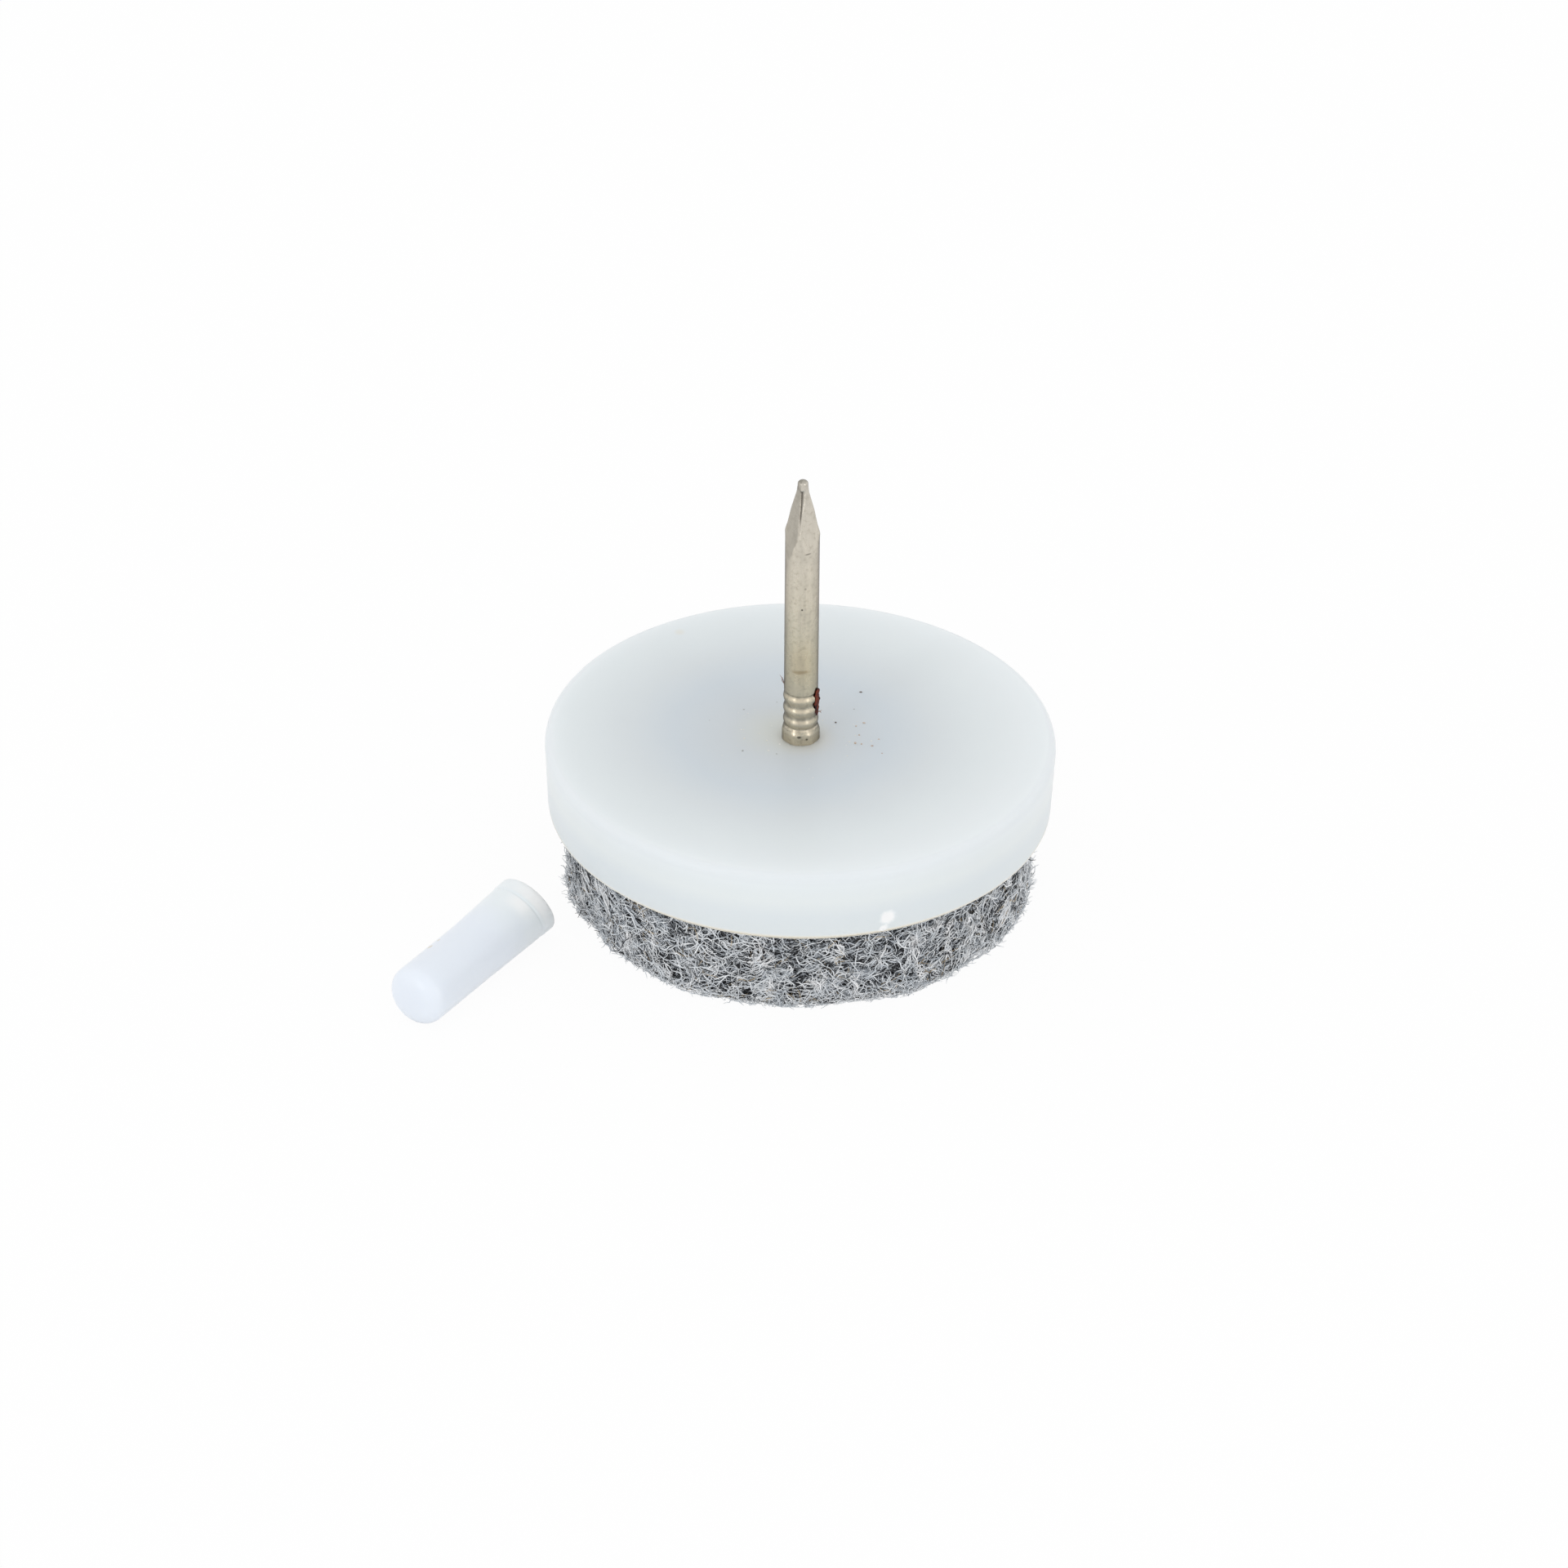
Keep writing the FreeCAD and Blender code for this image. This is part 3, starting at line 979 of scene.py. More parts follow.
        left_flat = smooth_step(-0.05, -0.25, off_edge) * smooth_step(-1.6, -1.4, off_edge)
        grime = 0.55 + 0.45 * Ripple(3, 0.45 * MM).at(angles * self.radius, tall)
        sharp = smooth_step(self.tip - 2.2 * MM, self.tip - 1.7 * MM, tall)
        # Darker in the slit and the ring grooves: grime there, and painted shade in these recesses.
        dirt_and_shade = 0.85 * slit * (0.3 + 0.7 * sharp) + 0.38 * groove[:, None] * np.clip(grime, 0, 1)
        crown = smooth_step(self.tip - 0.1 * MM, self.tip - 0.02 * MM, tall)
        # Painted shade and highlight: darker towards the wire's sides seen from the front, two lighter bands
        # either side of the front, and painted shade in the ring grooves; the point's flats, the left one
        # most, and the dome are duller.
        off_front = np.abs((angles + math.pi / 2 + math.pi) % FULL_TURN - math.pi)
        highlight_bands = bell(off_front - 0.42, 0.22)
        side_shade_and_highlight = (1 - cut) * (0.14 * (1 - highlight_bands) + 0.3 * np.sin(off_front) ** 6)
        dull_and_shade = side_shade_and_highlight + cut * (0.08 + 0.45 * left_flat) + 0.15 * groove[:, None] + 0.6 * crown
        across = reach * np.cos(angles) - self.lean * np.maximum(tall - self.plate_top, 0)
        grid = np.stack([across, reach * np.sin(angles), tall + 0 * angles], axis=-1)
        return grid, np.clip(dirt_and_shade, 0, 1), np.clip(dull_and_shade, 0, 1)

    def build(self) -> None:
        """Makes the nail, with its head, and lays on it the dirt and dullness that carry its painted shade
        and highlights.
        """
        grid, dirt_and_shade, dull_and_shade = self.skin()
        head_radii = np.array([0.4, 1.0, 1.0, 0.5]) * self.head_reach
        head_heights = self.foot + np.array([0.0, 0.0, 1.0, 1.0]) * self.head_height
        head = turned(head_radii, head_heights, self.columns)
        marks = (
            Mark(-0.03 * MM, self.plate_top + 7.41 * MM, 0.13 * MM, 0.9),
            Mark(0.11 * MM, self.plate_top + 8.52 * MM, 0.14 * MM, 0.35),
            Mark(0.20 * MM, self.plate_top + 10.37 * MM, 0.40 * MM, 0.7, 5.0),
            Mark(-0.07 * MM, self.plate_top + 0.46 * MM, 0.28 * MM, 0.8, 1.6),
            Mark(0.29 * MM, self.plate_top + 0.33 * MM, 0.17 * MM, 0.8),
        )
        stand = self.tip - self.plate_top
        nickel = NickelWire(self.radius, self.plate_top, stand, self.plate_top + 4.0 * MM, marks).material()
        nail = make_skin("nail_wire", np.concatenate([head, grid]), Closure.POLES, nickel, SOFT_EDGE)
        lay_on(nail, "dirt_and_shade", np.concatenate([np.zeros(head.shape[:2]), dirt_and_shade]))
        lay_on(nail, "dull_and_shade", np.concatenate([np.zeros(head.shape[:2]), dull_and_shade]))
        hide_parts("nail")


class Clump(Enum):
    """Which clumps of the felt a batch of fibres gathers in."""

    DARK = -1.0
    EVEN = 0.0
    PALE = 1.0


@dataclass(frozen=True)
class FibreBatch:
    """Fibres of one shade: how many, how long and thick, how deep, how low and how steep they lie."""

    name: str
    shade: MixedFibre
    count: int
    length: tuple[float, float]
    thickness: tuple[float, float]
    depth: tuple[float, float]
    low_bias: float
    steepness: float
    lift: float
    clump: Clump
    seed: int


@dataclass(frozen=True)
class Swell:
    """A place where the felt's lower edge stands out or draws in: direction, width in degrees, how far."""

    turn: float
    width: float
    out: float


@dataclass
class FeltPad:
    """The felt disc: a lumpy core under layers of curled fibres, with pale wisps and a fuzzy lower edge."""

    radius: float
    top: float
    core_inset: float = 0.28 * MM
    edge_round: float = 0.3 * MM
    edge_wave: float = 0.1 * MM
    path_points: int = 5
    first_seed: int = 20
    wisp_bundles: int = 80
    wisp_strands: int = 9
    wisp_seed: int = 41
    under_count: int = 1800
    under_seed: int = 31
    under_margin: float = 1.2 * MM
    bump_height: float = 0.06 * MM
    clearance: float = 0.05 * MM
    columns: int = 360
    swells: tuple[Swell, ...] = (
        Swell(209, 7, -0.26 * MM),
        Swell(244, 9, 0.30 * MM),
        Swell(269, 9, 0.12 * MM),
        Swell(298, 5, 0.20 * MM),
        Swell(320, 6, -0.12 * MM),
        Swell(70, 12, 0.15 * MM),
        Swell(130, 10, -0.12 * MM),
    )

    def swell(self, angles: Array, heights: Array) -> Array:
        """How far the side stands out: a bell curve round each swell, full at the floor, none on top.

        Args:
            angles: directions from the axis, in radians.
            heights: heights above the floor.

        Returns:
            One distance for each place.
        """
        out = np.zeros_like(angles)
        for part in self.swells:
            off = (np.degrees(angles) - part.turn + 180) % 360 - 180
            out = out + part.out * bell(off, part.width)
        return out * np.clip(1.1 - heights / self.top, 0, 1)

    def low_edge(self, angles: Array) -> Array:
        """Height of the worn lower edge round the pad, a seeded wave from 0 to twice its mean."""
        wave = Ripple(11, 5.0 * MM).at(self.radius * np.cos(angles), self.radius * np.sin(angles))
        return self.edge_wave * np.clip(1 + 0.8 * wave, 0, 2)

    def core_grid(self) -> Array:
        """The core: flat top, side roughened by ripples and a lower edge that waves and rounds under.

        Returns:
            A rows x columns x 3 grid.
        """
        angles = ring(self.columns)[None, :]
        turn = np.linspace(0, math.pi / 2, 8)
        under, side, cover = 12, 24, 10
        bend = len(turn)
        rounded = self.edge_round * (1 - np.sin(turn))
        lifted = 0.15 + 0.85 * (1 - np.cos(turn))
        outwards, inwards = np.linspace(0.05, 0.93, under), np.linspace(1, 0.05, cover)
        share = np.concatenate([outwards, np.ones(bend + side), inwards])
        inset = np.concatenate([np.zeros(under), rounded, np.zeros(side + cover)])
        raised = np.concatenate([np.full(under, 0.15), lifted, np.ones(side + cover)])
        climb = np.concatenate([np.zeros(under + bend), np.linspace(0, 1, side + 1)[1:], np.ones(cover)])
        low = self.clearance + raised[:, None] * self.low_edge(angles)
        heights = low + climb[:, None] * (self.top - 0.01 * MM - low)
        reach = self.radius - self.core_inset + self.swell(angles + 0 * heights, heights)
        bumps = self.bump_height * Ripple(5, 0.9 * MM, 24).at(angles * self.radius + 0 * heights, heights)
        radii = share[:, None] * (reach + (share >= 1)[:, None] * bumps) - inset[:, None]
        return np.stack([radii * np.cos(angles), radii * np.sin(angles), heights], axis=-1)

    def laid(
        self,
        draw: np.random.Generator,
        start: Array,
        base: Array,
        heading: Array,
        length: Array,
        depth: Array,
        lift: float,
    ) -> Array:
        """Centre lines of fibres: a heading that bends and sways, summed up along the unrolled side.

        Args:
            draw: the random draw.
            start: place of each fibre's middle round the pad, in radians.
            base: height of its middle.
            heading: its direction on the side, 0 along and a quarter turn up.
            length: its length.
            depth: how far it lies below the pad's radius.
            lift: how far the loosest end stands off.

        Returns:
            fibres x points x 3 paths.
        """
        count = len(start)
        share = np.linspace(0, 1, self.path_points)[None, :]
        bend = draw.normal(0, 1.4, count)[:, None]
        sway = draw.uniform(0.1, 0.8, count)[:, None]
        phase = draw.uniform(0, FULL_TURN, count)[:, None]
        course = heading[:, None] + bend * (share - 0.5) + sway * np.sin(FULL_TURN * share + phase)
        pace = (length / (self.path_points - 1))[:, None]
        along = np.cumsum(np.cos(course), axis=1) * pace
        rise = np.cumsum(np.sin(course), axis=1) * pace
        angles = start[:, None] + (along - along.mean(axis=1, keepdims=True)) / self.radius
        heights = base[:, None] + rise - rise.mean(axis=1, keepdims=True)
        lowest = self.clearance + 0.5 * self.low_edge(angles)
        heights = np.clip(heights, lowest, self.top - self.clearance)
        bow = draw.normal(0, 0.05 * MM, count)[:, None] * np.sin(math.pi * share)
        loose = lift * draw.uniform(0, 1, count)[:, None] ** 4 * share**2
        tuck = 0.1 * MM * smooth_step(0.35 * MM, 0.0, heights)
        reach = self.radius + self.swell(angles, heights) - depth[:, None] + bow + loose - tuck
        return np.stack([reach * np.cos(angles), reach * np.sin(angles), heights], axis=-1)

    def side_paths(self, batch: FibreBatch) -> tuple[Array, Array]:
        """Centre lines of a batch, gathered in long flat clumps of their own tone.

        Args:
            batch: the fibres.

        Returns:
            fibres x points x 3 paths, and the thickness of each fibre.
        """
        draw = np.random.default_rng(batch.seed)
        start = draw.uniform(0, FULL_TURN, 4 * batch.count)
        base = self.top * draw.uniform(0, 1, 4 * batch.count) ** batch.low_bias
        clumps = Ripple(7, 1.2 * MM, 24).at(0.5 * start * self.radius, 4.0 * base)
        rank = batch.clump.value * clumps + draw.normal(0, 0.95, len(start))
        chosen = np.argsort(rank)[-batch.count :]
        heading = draw.normal(0, batch.steepness, batch.count) + math.pi * draw.integers(0, 2, batch.count)
        length = draw.uniform(*batch.length, batch.count)
        depth = draw.uniform(*batch.depth, batch.count)
        paths = self.laid(draw, start[chosen], base[chosen], heading, length, depth, batch.lift)
        return paths, draw.uniform(*batch.thickness, batch.count)

    def wisp_paths(self) -> tuple[Array, Array]:
        """Centre lines of pale wisps: bundles of fibres that share a place and a steep heading.

        Returns:
            fibres x points x 3 paths, and the thickness of each fibre.
        """
        draw = np.random.default_rng(self.wisp_seed)
        bundles, strands = self.wisp_bundles, self.wisp_strands
        count = bundles * strands
        start = np.repeat(draw.uniform(0, FULL_TURN, bundles), strands)
        start = start + draw.normal(0, 0.04 * MM, count) / self.radius
        base = np.repeat(self.top * draw.uniform(0.05, 0.8, bundles), strands)
        base = base + draw.normal(0, 0.12 * MM, count)
        heading = np.repeat(math.pi / 2 + draw.normal(0, 0.6, bundles), strands)
        heading = heading + draw.normal(0, 0.15, count)
        length = np.repeat(draw.uniform(0.7 * MM, 2.0 * MM, bundles), strands)
        length = length * draw.uniform(0.7, 1.1, count)
        depth = draw.uniform(-0.14 * MM, -0.02 * MM, count)
        paths = self.laid(draw, start, base, heading, length, depth, 0.15 * MM)
        return paths, draw.uniform(0.055 * MM, 0.09 * MM, count)

    def under_paths(self) -> tuple[Array, Array]:
        """Centre lines of fibres that lie on the underside, as short bent arcs a hair above the floor.

        Returns:
            fibres x points x 3 paths, and the thickness of each fibre.
        """
        draw = np.random.default_rng(self.under_seed)
        count = self.under_count
        share = np.linspace(0, 1, self.path_points)[None, :]
        out = (self.radius - self.under_margin) * np.sqrt(draw.uniform(0, 1, count))[:, None]
        turn = draw.uniform(0, FULL_TURN, count)[:, None]
        length = draw.uniform(0.8 * MM, 2.2 * MM, count)[:, None]
        course = draw.uniform(0, FULL_TURN, count)[:, None] + draw.normal(0, 1.2, count)[:, None] * share
        sideways = np.cumsum(np.cos(course), axis=1) * length / self.path_points
        onwards = np.cumsum(np.sin(course), axis=1) * length / self.path_points
        across = out * np.cos(turn) + sideways - sideways.mean(axis=1, keepdims=True)
        along = out * np.sin(turn) + onwards - onwards.mean(axis=1, keepdims=True)
        heights = draw.uniform(0.03 * MM, 0.09 * MM, count)[:, None] + 0 * share
        return np.stack([across, along, heights], axis=-1), draw.uniform(0.03 * MM, 0.05 * MM, count)

    def batches(self) -> tuple[FibreBatch, ...]:
        """The shades of fibre, from the dark ones that lie deep to the pale fuzz and stray hairs outside.

        Returns:
            The batches, each with a seed of its own.
        """
        white = MixedFibre("felt_white", srgb(250, 252, 254), srgb(228, 233, 238))
        silver = MixedFibre("felt_silver", srgb(224, 230, 237), srgb(190, 196, 203))
        grey = MixedFibre("felt_grey", srgb(170, 175, 181), srgb(124, 128, 133))
        charcoal = MixedFibre("felt_charcoal", srgb(76, 77, 80), srgb(44, 44, 47))
        tan = MixedFibre("felt_tan", srgb(208, 192, 166), srgb(164, 147, 122))
        fine, medium, stout = (0.035 * MM, 0.06 * MM), (0.04 * MM, 0.07 * MM), (0.05 * MM, 0.09 * MM)
        tiny, short, long = (0.4 * MM, 0.9 * MM), (0.5 * MM, 1.2 * MM), (0.6 * MM, 1.6 * MM)
        deep, shallow, outside = (0.0, 0.24), (0.0, 0.16), (-0.06, 0.08)
        # Charcoal fibres gather high and pale ones low: the felt's own mix, and painted shade under the
        # plate's overhang.
        rows = (
            ("fibres_charcoal", charcoal, 4600, long, medium, deep, 0.75, 0.35, 0.15, Clump.DARK),
            ("fibres_grey", grey, 3600, long, medium, shallow, 0.95, 0.5, 0.2, Clump.EVEN),
            ("fibres_silver", silver, 3600, long, medium, shallow, 1.1, 0.7, 0.3, Clump.PALE),
            ("fibres_white", white, 4600, long, stout, outside, 1.15, 0.85, 0.3, Clump.PALE),
            ("fibres_tan", tan, 400, long, medium, outside, 2.4, 0.7, 0.2, Clump.EVEN),
            ("fibres_fuzz", white, 4200, tiny, fine, (-0.3, 0.06), 5.0, 1.2, 0.42, Clump.EVEN),
            ("fibres_stray", charcoal, 500, short, fine, (-0.14, 0.02), 1.6, 1.2, 0.5, Clump.EVEN),
        )
        return tuple(
            FibreBatch(*who, (near * MM, far * MM), low, steep, lift * MM, clump, self.first_seed + place)
            for place, (*who, (near, far), low, steep, lift, clump) in enumerate(rows)
        )

    def build(self) -> None:
        """Makes the core, every batch of fibres, the wisps and the underside."""
        mixed = MixedFibre("felt_core", srgb(142, 145, 149), srgb(70, 71, 74), 0.25 * MM)
        core = make_skin("felt_core", self.core_grid(), Closure.POLES, mixed.material())
        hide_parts("felt_pad")
        for batch in self.batches():
            make_threads(batch.name, *self.side_paths(batch), batch.shade.material())
        pale = MixedFibre("felt_wisp", srgb(254, 254, 255), srgb(240, 243, 246)).material()
        make_threads("fibres_wisps", *self.wisp_paths(), pale)
        under = MixedFibre("felt_under", srgb(206, 209, 213), srgb(96, 98, 102)).material()
        make_threads("fibres_under", *self.under_paths(), under)


@dataclass
class NailGuard:
    """The soft cap for the nail's point, lying on the floor beside the felt."""

    felt_radius: float
    bore: float
    wall: float = 0.65 * MM
    flare: float = 0.09 * MM
    flare_length: float = 3.7 * MM
    lip_rise: float = 0.02 * MM
    lip_length: float = 1.0 * MM
    lip_groove: float = 0.025 * MM
    groove_width: float = 0.07 * MM
    length: float = 9.2 * MM
    end_reach: float = 0.3 * MM
    end_wall: float = 0.9 * MM
    end_round: float = 0.7 * MM
    lip_round: float = 0.16 * MM
    cut: float = math.radians(20)
    cut_roll: float = math.radians(-73)
    cut_length: float = 3.8 * MM
    gap: float = 2.74 * MM
    bearing: float = math.radians(202.27)
    heading: float = math.radians(57.65)
    columns: int = 128

    def section(self) -> tuple[Array, Array]:
        """The section from the closed end's middle along the outside, round the lip and back down the bore.

        Returns:
            Places along the axis and radii.
        """
        body = self.bore + self.wall
        step = self.length - self.lip_length
        end = np.sin(np.linspace(0.04, math.pi / 2, 20))
        rim = np.linspace(0, math.pi, 13)[1:]
        outside = np.concatenate(
            [
                np.linspace(self.end_round - self.end_reach, step - 0.2 * MM, 26)[1:],
                np.linspace(step - 0.2 * MM, step + 0.2 * MM, 13)[1:],
                np.linspace(step + 0.2 * MM, self.length - self.lip_round, 6)[1:],
            ]
        )
        groove = self.lip_groove * bell(outside - step, self.groove_width)
        skin = body + self.swelling(outside) - groove
        half = (skin[-1] - self.bore) / 2
        along = [
            self.end_round * (1 - np.sqrt(1 - end**3.6)) - self.end_reach,
            outside,
            self.length - self.lip_round + self.lip_round * np.sin(rim),
            np.linspace(self.length - self.lip_round, self.end_wall, 12)[1:],
            np.full(3, self.end_wall),
        ]
        radii = [
            body * end,
            skin,
            self.bore + half + half * np.cos(rim),
            np.full(11, self.bore),
            np.array([0.7, 0.4, 0.05]) * self.bore,
        ]
        return np.concatenate(along), np.concatenate(radii)

    def swelling(self, along: Array) -> Array:
        """How much wider than its body the cap is: an even flare, then a small step up to the lip.

        Args:
            along: places from the closed end.

        Returns:
            What the radius gains at each place.
        """
        step = self.length - self.lip_length
        flare = self.flare * np.clip((along - step) / self.flare_length + 1, 0, 1)
        return flare + self.lip_rise * smooth_step(step - 0.1 * MM, step + 0.15 * MM, along)

    def lip_highlight(self) -> Array:
        """How strong the painted highlight is: over the lip and behind its groove, on the upper right side.

        Returns:
            rows x columns values of the grid, from 0 to 1.
        """
        along = self.section()[0][:, None]
        angles = ring(self.columns)[None, :]
        step = self.length - self.lip_length
        lip = smooth_step(step + 0.06 * MM, step + 0.25 * MM, along)
        neck = smooth_step(step - 1.4 * MM, step - 0.3 * MM, along)
        neck = neck * smooth_step(step, step - 0.15 * MM, along)
        return lip * bell(angles - 2.3, 0.75) + neck * bell(angles - 2.1, 0.4)

    def set_down(self, along: Array, beside: Array, above: Array) -> Array:
        """Points of the cap lying on the floor, from places along, beside and above its axis.

        Args:
            along: from the closed end towards the mouth.
            beside: to the left of the axis.
            above: over the axis.

        Returns:
            The points, with x, y and z as the last axis.
        """
        mouth = self.felt_radius + self.gap
        short = self.length - along
        cosine, sine = math.cos(self.heading), math.sin(self.heading)
        return np.stack(
            [
                mouth * math.cos(self.bearing) - short * cosine - beside * sine,
                mouth * math.sin(self.bearing) - short * sine + beside * cosine,
                self.bore + self.wall + self.swelling(along) + above,
            ],
            axis=-1,
        )

    def grid(self) -> Array:
        """The section carried round the lying axis, with the mouth slid along it to make the slanted cut.

        Returns:
            A rows x columns x 3 grid.
        """
        along, radii = self.section()
        angles = ring(self.columns)
        beside = radii[:, None] * np.cos(angles)
        above = radii[:, None] * np.sin(angles)
        slant = math.tan(self.cut) * (math.cos(self.cut_roll) * beside + math.sin(self.cut_roll) * above)
        cut_end = self.length - 0.9 * self.lip_length
        share = smooth_step(self.length - self.cut_length, cut_end, along)[:, None]
        return self.set_down(along[:, None] + share * slant, beside, above)

    def spot(self, along: float, turn: float) -> Place:
        """A place on the outside: so far from the closed end, turned so far from the left over the top.

        Args:
            along: distance from the closed end.
            turn: angle from the left side, in radians.

        Returns:
            The place.
        """
        body = self.bore + self.wall
        beside, above = np.array(body * math.cos(turn)), np.array(body * math.sin(turn))
        point = self.set_down(np.array(along), beside, above)
        return tuple(float(part) for part in point)

    def build(self) -> None:
        """Makes the cap."""
        stains = ((self.spot(2.35 * MM, 0.98), 0.4 * MM), (self.spot(3.0 * MM, 1.0), 0.24 * MM))
        plastic = GuardPlastic(self.spot(self.length, math.pi / 2), stains).material()
        cap = make_skin("nail_guard_shell", self.grid(), Closure.POLES, plastic, SOFT_EDGE)
        # The painted highlight on the lip, as a value at each point.
        lay_on(cap, "lip_highlight", self.lip_highlight())
        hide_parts("nail_guard")


@dataclass
class Crumbs:
    """What driving and pulling the nail left on the glide: a flake of rust, wood hairs and dust."""

    plate_top: float
    nail_radius: float
    dark_specks: tuple[Place, ...] = (
        (2.82, 3.9, 0.17), (1.64, 1.2, 0.13), (-4.7, 2.6, 0.09), (-4.65, 4.5, 0.10),
    )
    tan_specks: tuple[Place, ...] = (
        (2.98, 1.2, 0.15), (2.6, 0.92, 0.12), (2.75, 0.14, 0.10), (2.56, -0.57, 0.15), (2.86, -0.64, 0.14),
        (3.36, -0.78, 0.14), (3.67, -0.2, 0.10), (3.82, -1.4, 0.11),
    )
    faint_specks: tuple[Place, ...] = (
        (-2.8, 6.2, 0.09), (-4.3, 1.2, 0.08), (-2.7, 2.2, 0.09), (-2.7, -1.4, 0.12), (-1.15, 2.9, 0.09),
        (-1.1, -1.6, 0.09), (2.5, 2.4, 0.08), (-4.0, 9.2, 0.09),
    )
    dust_count: int = 40
    dust_seed: int = 52
    shape_seed: int = 51
    flake_half: float = 0.105 * MM
    flake_across: float = 0.75 * MM

    def specks(self) -> None:
        """Specks as two places and a width in millimetres, and pale dust scattered round the nail."""
        draw = np.random.default_rng(self.dust_seed)
        turn = draw.uniform(0, FULL_TURN, self.dust_count)
        out = draw.uniform(1.2, 4.2, self.dust_count)
        wide = draw.uniform(0.05, 0.1, self.dust_count)
        dust = np.stack([out * np.cos(turn), out * np.sin(turn), wide], axis=-1)
        for name, spots, light, dark in (
            ("specks_dark", self.dark_specks, srgb(128, 114, 104), srgb(78, 70, 66)),
            ("specks_tan", self.tan_specks, srgb(212, 196, 182), srgb(176, 152, 134)),
            ("specks_faint", self.faint_specks, srgb(184, 186, 186), srgb(160, 162, 162)),
            ("specks_pale", dust, srgb(246, 245, 241), srgb(228, 222, 210)),
        ):
            places = np.array(spots) * MM
            centres = np.append(places[:, :2], self.plate_top + 0.1 * places[:, 2:], axis=1)
            shade = MixedFibre(name, light, dark, 0.08 * MM).material()
            make_crumbs(name, centres, places[:, 2], self.shape_seed, shade)

    def flake(self) -> None:
        """The rust flake: a thin upright lump on the wire's front right, its width swinging with height."""
        rust = MixedFibre("rust", srgb(122, 56, 38), srgb(44, 30, 34), 0.18 * MM).material()
        rise = np.linspace(0.0, 1.0, 26)
        wide = self.flake_half * np.sin(math.pi * np.clip(rise, 0.05, 0.95)) ** 0.4
        wide = wide * (1 + 0.25 * np.sin(17 * rise) + 0.15 * np.sin(41 * rise + 1))
        lump = turned(wide, self.plate_top + (1.42 + 1.45 * rise) * MM, 16)
        across = self.flake_across + lump[..., 0]
        front = np.sqrt(np.maximum((self.nail_radius + 0.03 * MM) ** 2 - across**2, 0))
        lump = np.stack([across, 0.5 * lump[..., 1] - front, lump[..., 2]], axis=-1)
        make_skin("rust_flake", lump, Closure.POLES, rust)

    def hairs(self) -> None:
        """Wood hairs caught on the nail: thin arcs from the wire outwards."""
        brown = MixedFibre("wood_hair", srgb(150, 104, 74), srgb(92, 58, 42)).material()
        share = np.linspace(0, 1, 6)
        roots = np.array([[-0.80, 2.75], [-0.80, 2.95], [-0.79, 2.6], [0.78, 1.42], [0.78, 1.46]]) * MM
        ends = np.array([[-1.02, 3.42], [-0.90, 3.30], [-0.84, 3.05], [0.98, 1.52], [0.94, 1.36]]) * MM
        sag = np.array([0.06, -0.05, 0.04, -0.05, 0.03]) * MM
        line = roots[:, None] + (ends - roots)[:, None] * share[:, None]
        bow = sag[:, None] * np.sin(math.pi * share)
        paths = np.stack([line[..., 0] + bow, bow - 0.1 * MM, self.plate_top + line[..., 1]], axis=-1)
        make_threads("wood_hairs", paths, np.full(len(paths), 0.035 * MM), brown)

    def build(self) -> None:
        """Makes the specks, the flake and the hairs."""
        self.specks()
        self.flake()
        self.hairs()


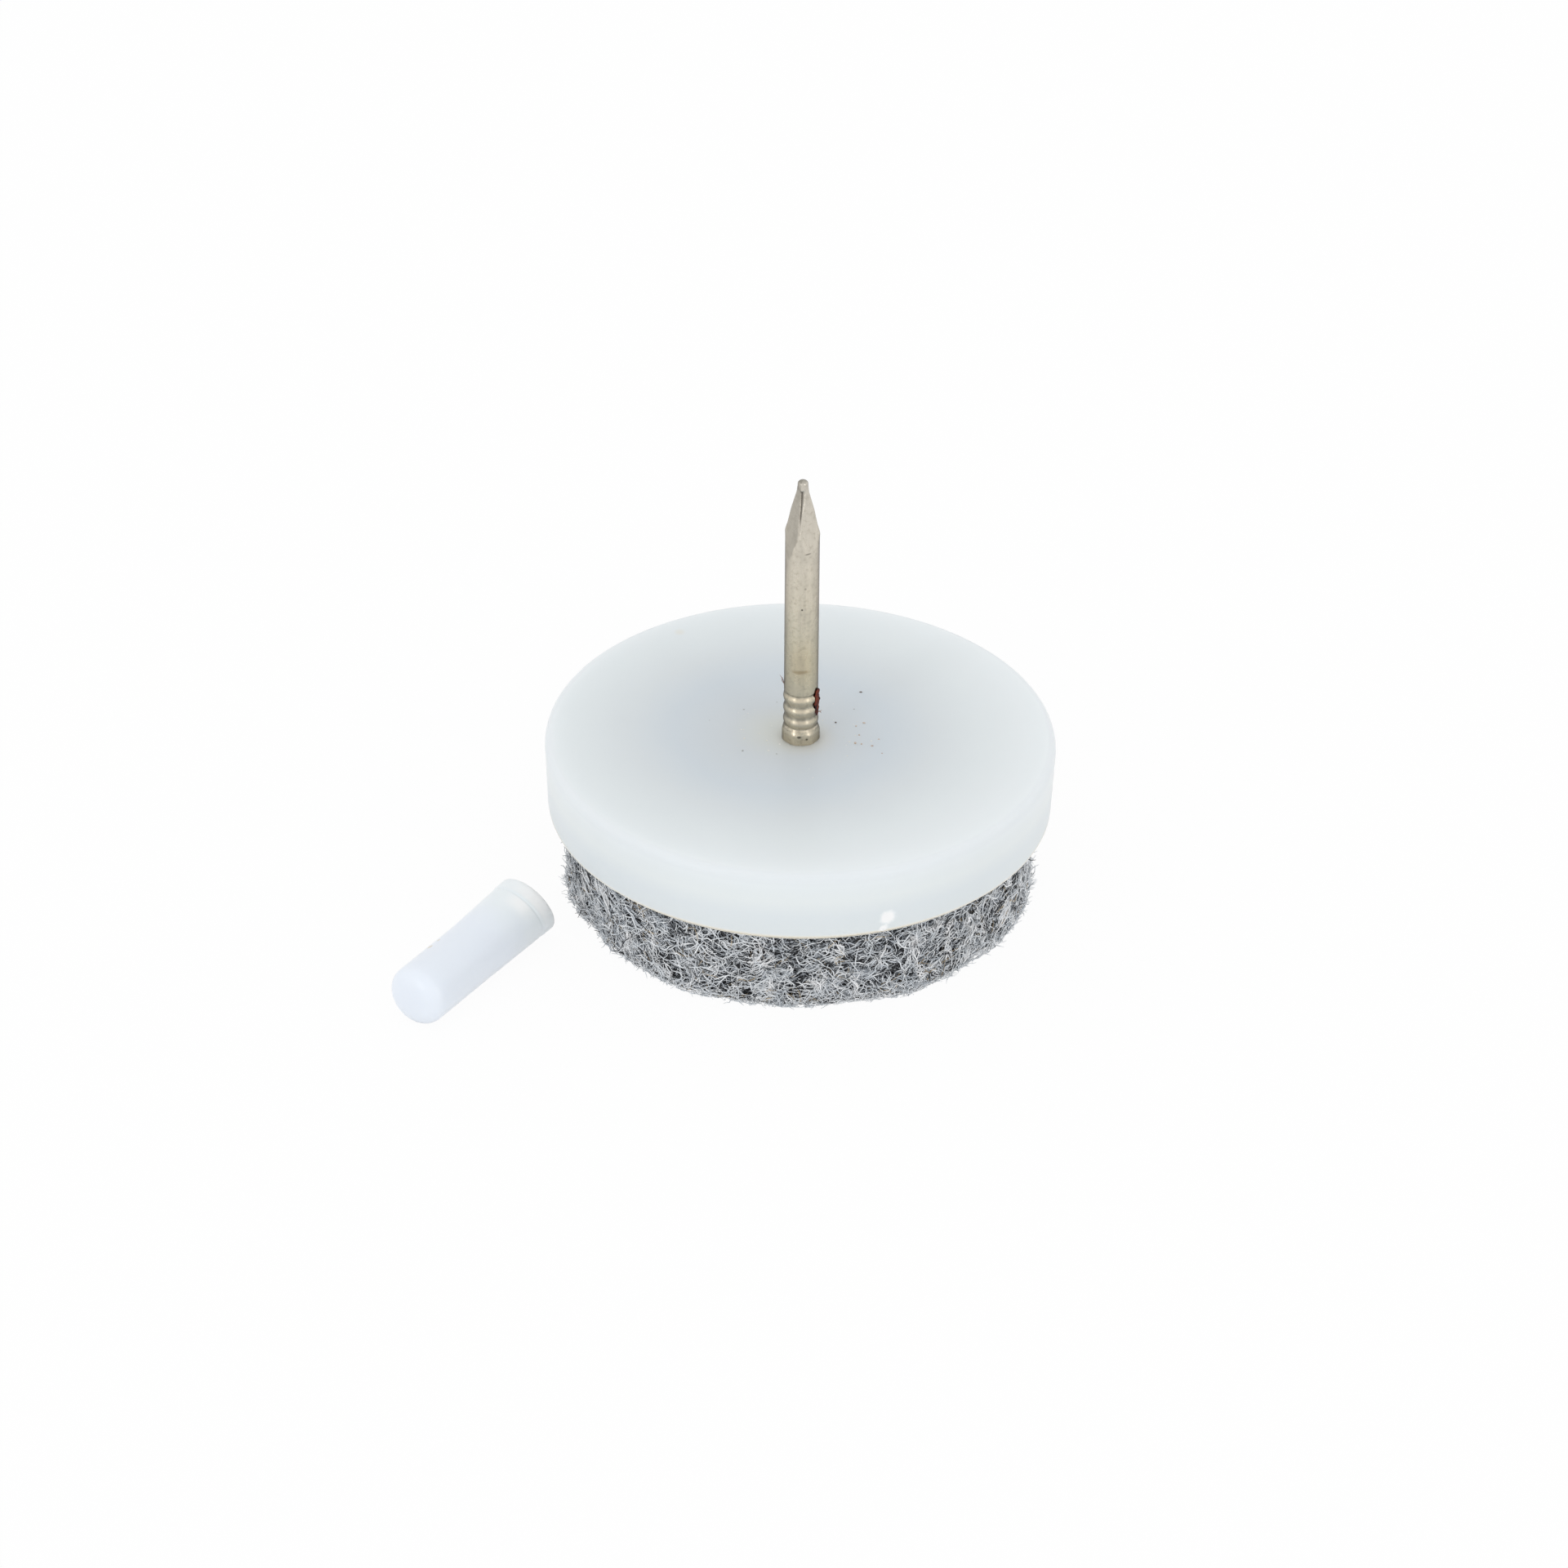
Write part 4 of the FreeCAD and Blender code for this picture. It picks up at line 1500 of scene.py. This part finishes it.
@dataclass
class Studio:
    """The white floor, the soft lights and the camera at the photo's place."""

    target: Vector
    elevation: float = math.radians(32.74)
    distance: float = 300 * MM
    focal_pixels: float = 7830.0
    frame_pixels: float = 1920.0
    target_pixel: tuple[float, float] = (980.3, 901.0)
    roll: float = math.radians(1.0)
    sensor_mm: float = 36.0
    ambient: float = 0.95
    floor_grey: float = 0.9
    floor_glow: float = 0.95
    floor_half: float = 1.5
    lamp_lift: float = math.radians(12)
    lamp_distance: float = 0.45
    lamp_width: float = 0.09
    lamp_height: float = 0.26

    def build(self) -> None:
        """Makes the camera, the floor, the sky and the lamps."""
        bpy.context.scene.view_settings.view_transform = "Standard"
        self.make_camera()
        self.make_floor()
        self.make_sky()
        for name, turn, power in (("left_softbox", -42.0, 0.2), ("right_softbox", 42.0, 0.15)):
            self.make_lamp(name, math.radians(turn), power)
        LOG.info("studio: camera, floor, sky and two softboxes")

    def make_camera(self) -> None:
        """A camera that sees the target at its pixel: aimed, rolled, then swung by the pixel's offset."""
        aim = Vector((0, math.cos(self.elevation), -math.sin(self.elevation)))
        right = Vector((1, 0, 0))
        up = right.cross(aim)
        cosine, sine = math.cos(self.roll), math.sin(self.roll)
        rolled_right = cosine * right + sine * up
        rolled_up = cosine * up - sine * right
        middle = self.frame_pixels / 2
        off_right = (self.target_pixel[0] - middle) / self.focal_pixels
        off_up = (middle - self.target_pixel[1]) / self.focal_pixels
        forward = (aim - off_right * rolled_right - off_up * rolled_up).normalized()
        rolled_right = (rolled_right - rolled_right.dot(forward) * forward).normalized()
        rolled_up = rolled_right.cross(forward)
        camera = bpy.data.cameras.new("camera")
        camera.sensor_width = self.sensor_mm
        camera.lens = self.sensor_mm * self.focal_pixels / self.frame_pixels
        camera.clip_start = 10 * MM
        stand = bpy.data.objects.new("camera", camera)
        turn = Matrix((rolled_right, rolled_up, -forward)).transposed().to_4x4()
        stand.matrix_world = Matrix.Translation(self.target - aim * self.distance) @ turn
        bpy.context.scene.collection.objects.link(stand)
        bpy.context.scene.camera = stand

    def seen_directly(self, graph: NodeGraph) -> Socket:
        """1 on rays that show the background itself: from the camera, in gloss and through clear pieces.

        Args:
            graph: the graph that asks.

        Returns:
            1 or 0.
        """
        path = graph.add("LightPath")
        shown = graph.math("MAXIMUM", path.outputs["Is Camera Ray"], path.outputs["Is Glossy Ray"])
        return graph.math("MAXIMUM", shown, path.outputs["Is Transmission Ray"])

    def make_floor(self) -> None:
        """A wide pale floor that shows as white and keeps a faint shadow."""
        graph, material = NodeGraph.for_material("floor_white")
        paper = graph.add("BsdfDiffuse")
        graph.feed(paper.inputs["Color"], (self.floor_grey, self.floor_grey, self.floor_grey, 1.0))
        glow = graph.add("Emission")
        share = graph.scaled(self.seen_directly(graph), self.floor_glow)
        graph.mixed_output("Material", share, paper, glow)
        half = self.floor_half
        corners = [(-half, -half, 0), (half, -half, 0), (half, half, 0), (-half, half, 0)]
        mesh = bpy.data.meshes.new("floor")
        mesh.from_pydata(corners, [], [(0, 1, 2, 3)])
        mesh.materials.append(material)
        floor = bpy.data.objects.new("floor", mesh)
        bpy.context.scene.collection.objects.link(floor)

    def make_sky(self) -> None:
        """A white surround: plain light on the object, and white where it is seen itself."""
        world = bpy.data.worlds.new("surround")
        world.use_nodes = True
        bpy.context.scene.world = world
        graph = NodeGraph(world.node_tree)
        light = graph.add("Background")
        graph.feed(light.inputs["Color"], (1.0, 1.0, 1.0, 1.0))
        graph.feed(light.inputs["Strength"], self.ambient)
        white = graph.add("Background")
        graph.feed(white.inputs["Color"], (1.0, 1.0, 1.0, 1.0))
        graph.mixed_output("World", self.seen_directly(graph), light, white)

    def make_lamp(self, name: str, turn: float, power: float) -> None:
        """A soft rectangular lamp that faces the target.

        Args:
            name: the lamp's name.
            turn: its direction, from the camera's side, to the right, in radians.
            power: in watts.
        """
        lamp = bpy.data.lights.new(name, "AREA")
        lamp.shape = "RECTANGLE"
        lamp.size = self.lamp_width
        lamp.size_y = self.lamp_height
        lamp.energy = power
        stand = bpy.data.objects.new(name, lamp)
        level, rise = math.cos(self.lamp_lift), math.sin(self.lamp_lift)
        away = Vector((math.sin(turn) * level, -math.cos(turn) * level, rise))
        stand.location = self.target + away * self.lamp_distance
        stand.rotation_euler = away.to_track_quat("Z", "Y").to_euler()
        bpy.context.scene.collection.objects.link(stand)


def main() -> None:
    """Builds every piece of the glide and the studio, in order."""
    logging.basicConfig(level=logging.INFO, format="%(name)s %(message)s")
    plate_low, plate_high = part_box("glide_plate")
    nail_low, nail_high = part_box("nail")
    felt_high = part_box("felt_pad")[1]
    shank = next(mount for mount in frame["record"]["mounts"] if mount["name"] == "nail_shank")
    wire = shank["dims"]["r_mm"] * MM

    GlidePlate(foot=plate_low.z, top=plate_high.z, reach=plate_high.x, bore=wire).build()
    Nail(
        foot=nail_low.z, plate_top=plate_high.z, tip=nail_high.z, radius=wire, head_reach=nail_high.x
    ).build()
    FeltPad(radius=felt_high.x, top=felt_high.z).build()
    NailGuard(felt_radius=felt_high.x, bore=wire).build()
    Crumbs(plate_top=plate_high.z, nail_radius=wire).build()
    Studio(target=Vector((0, 0, plate_high.z))).build()


if __name__ == "__main__":
    main()
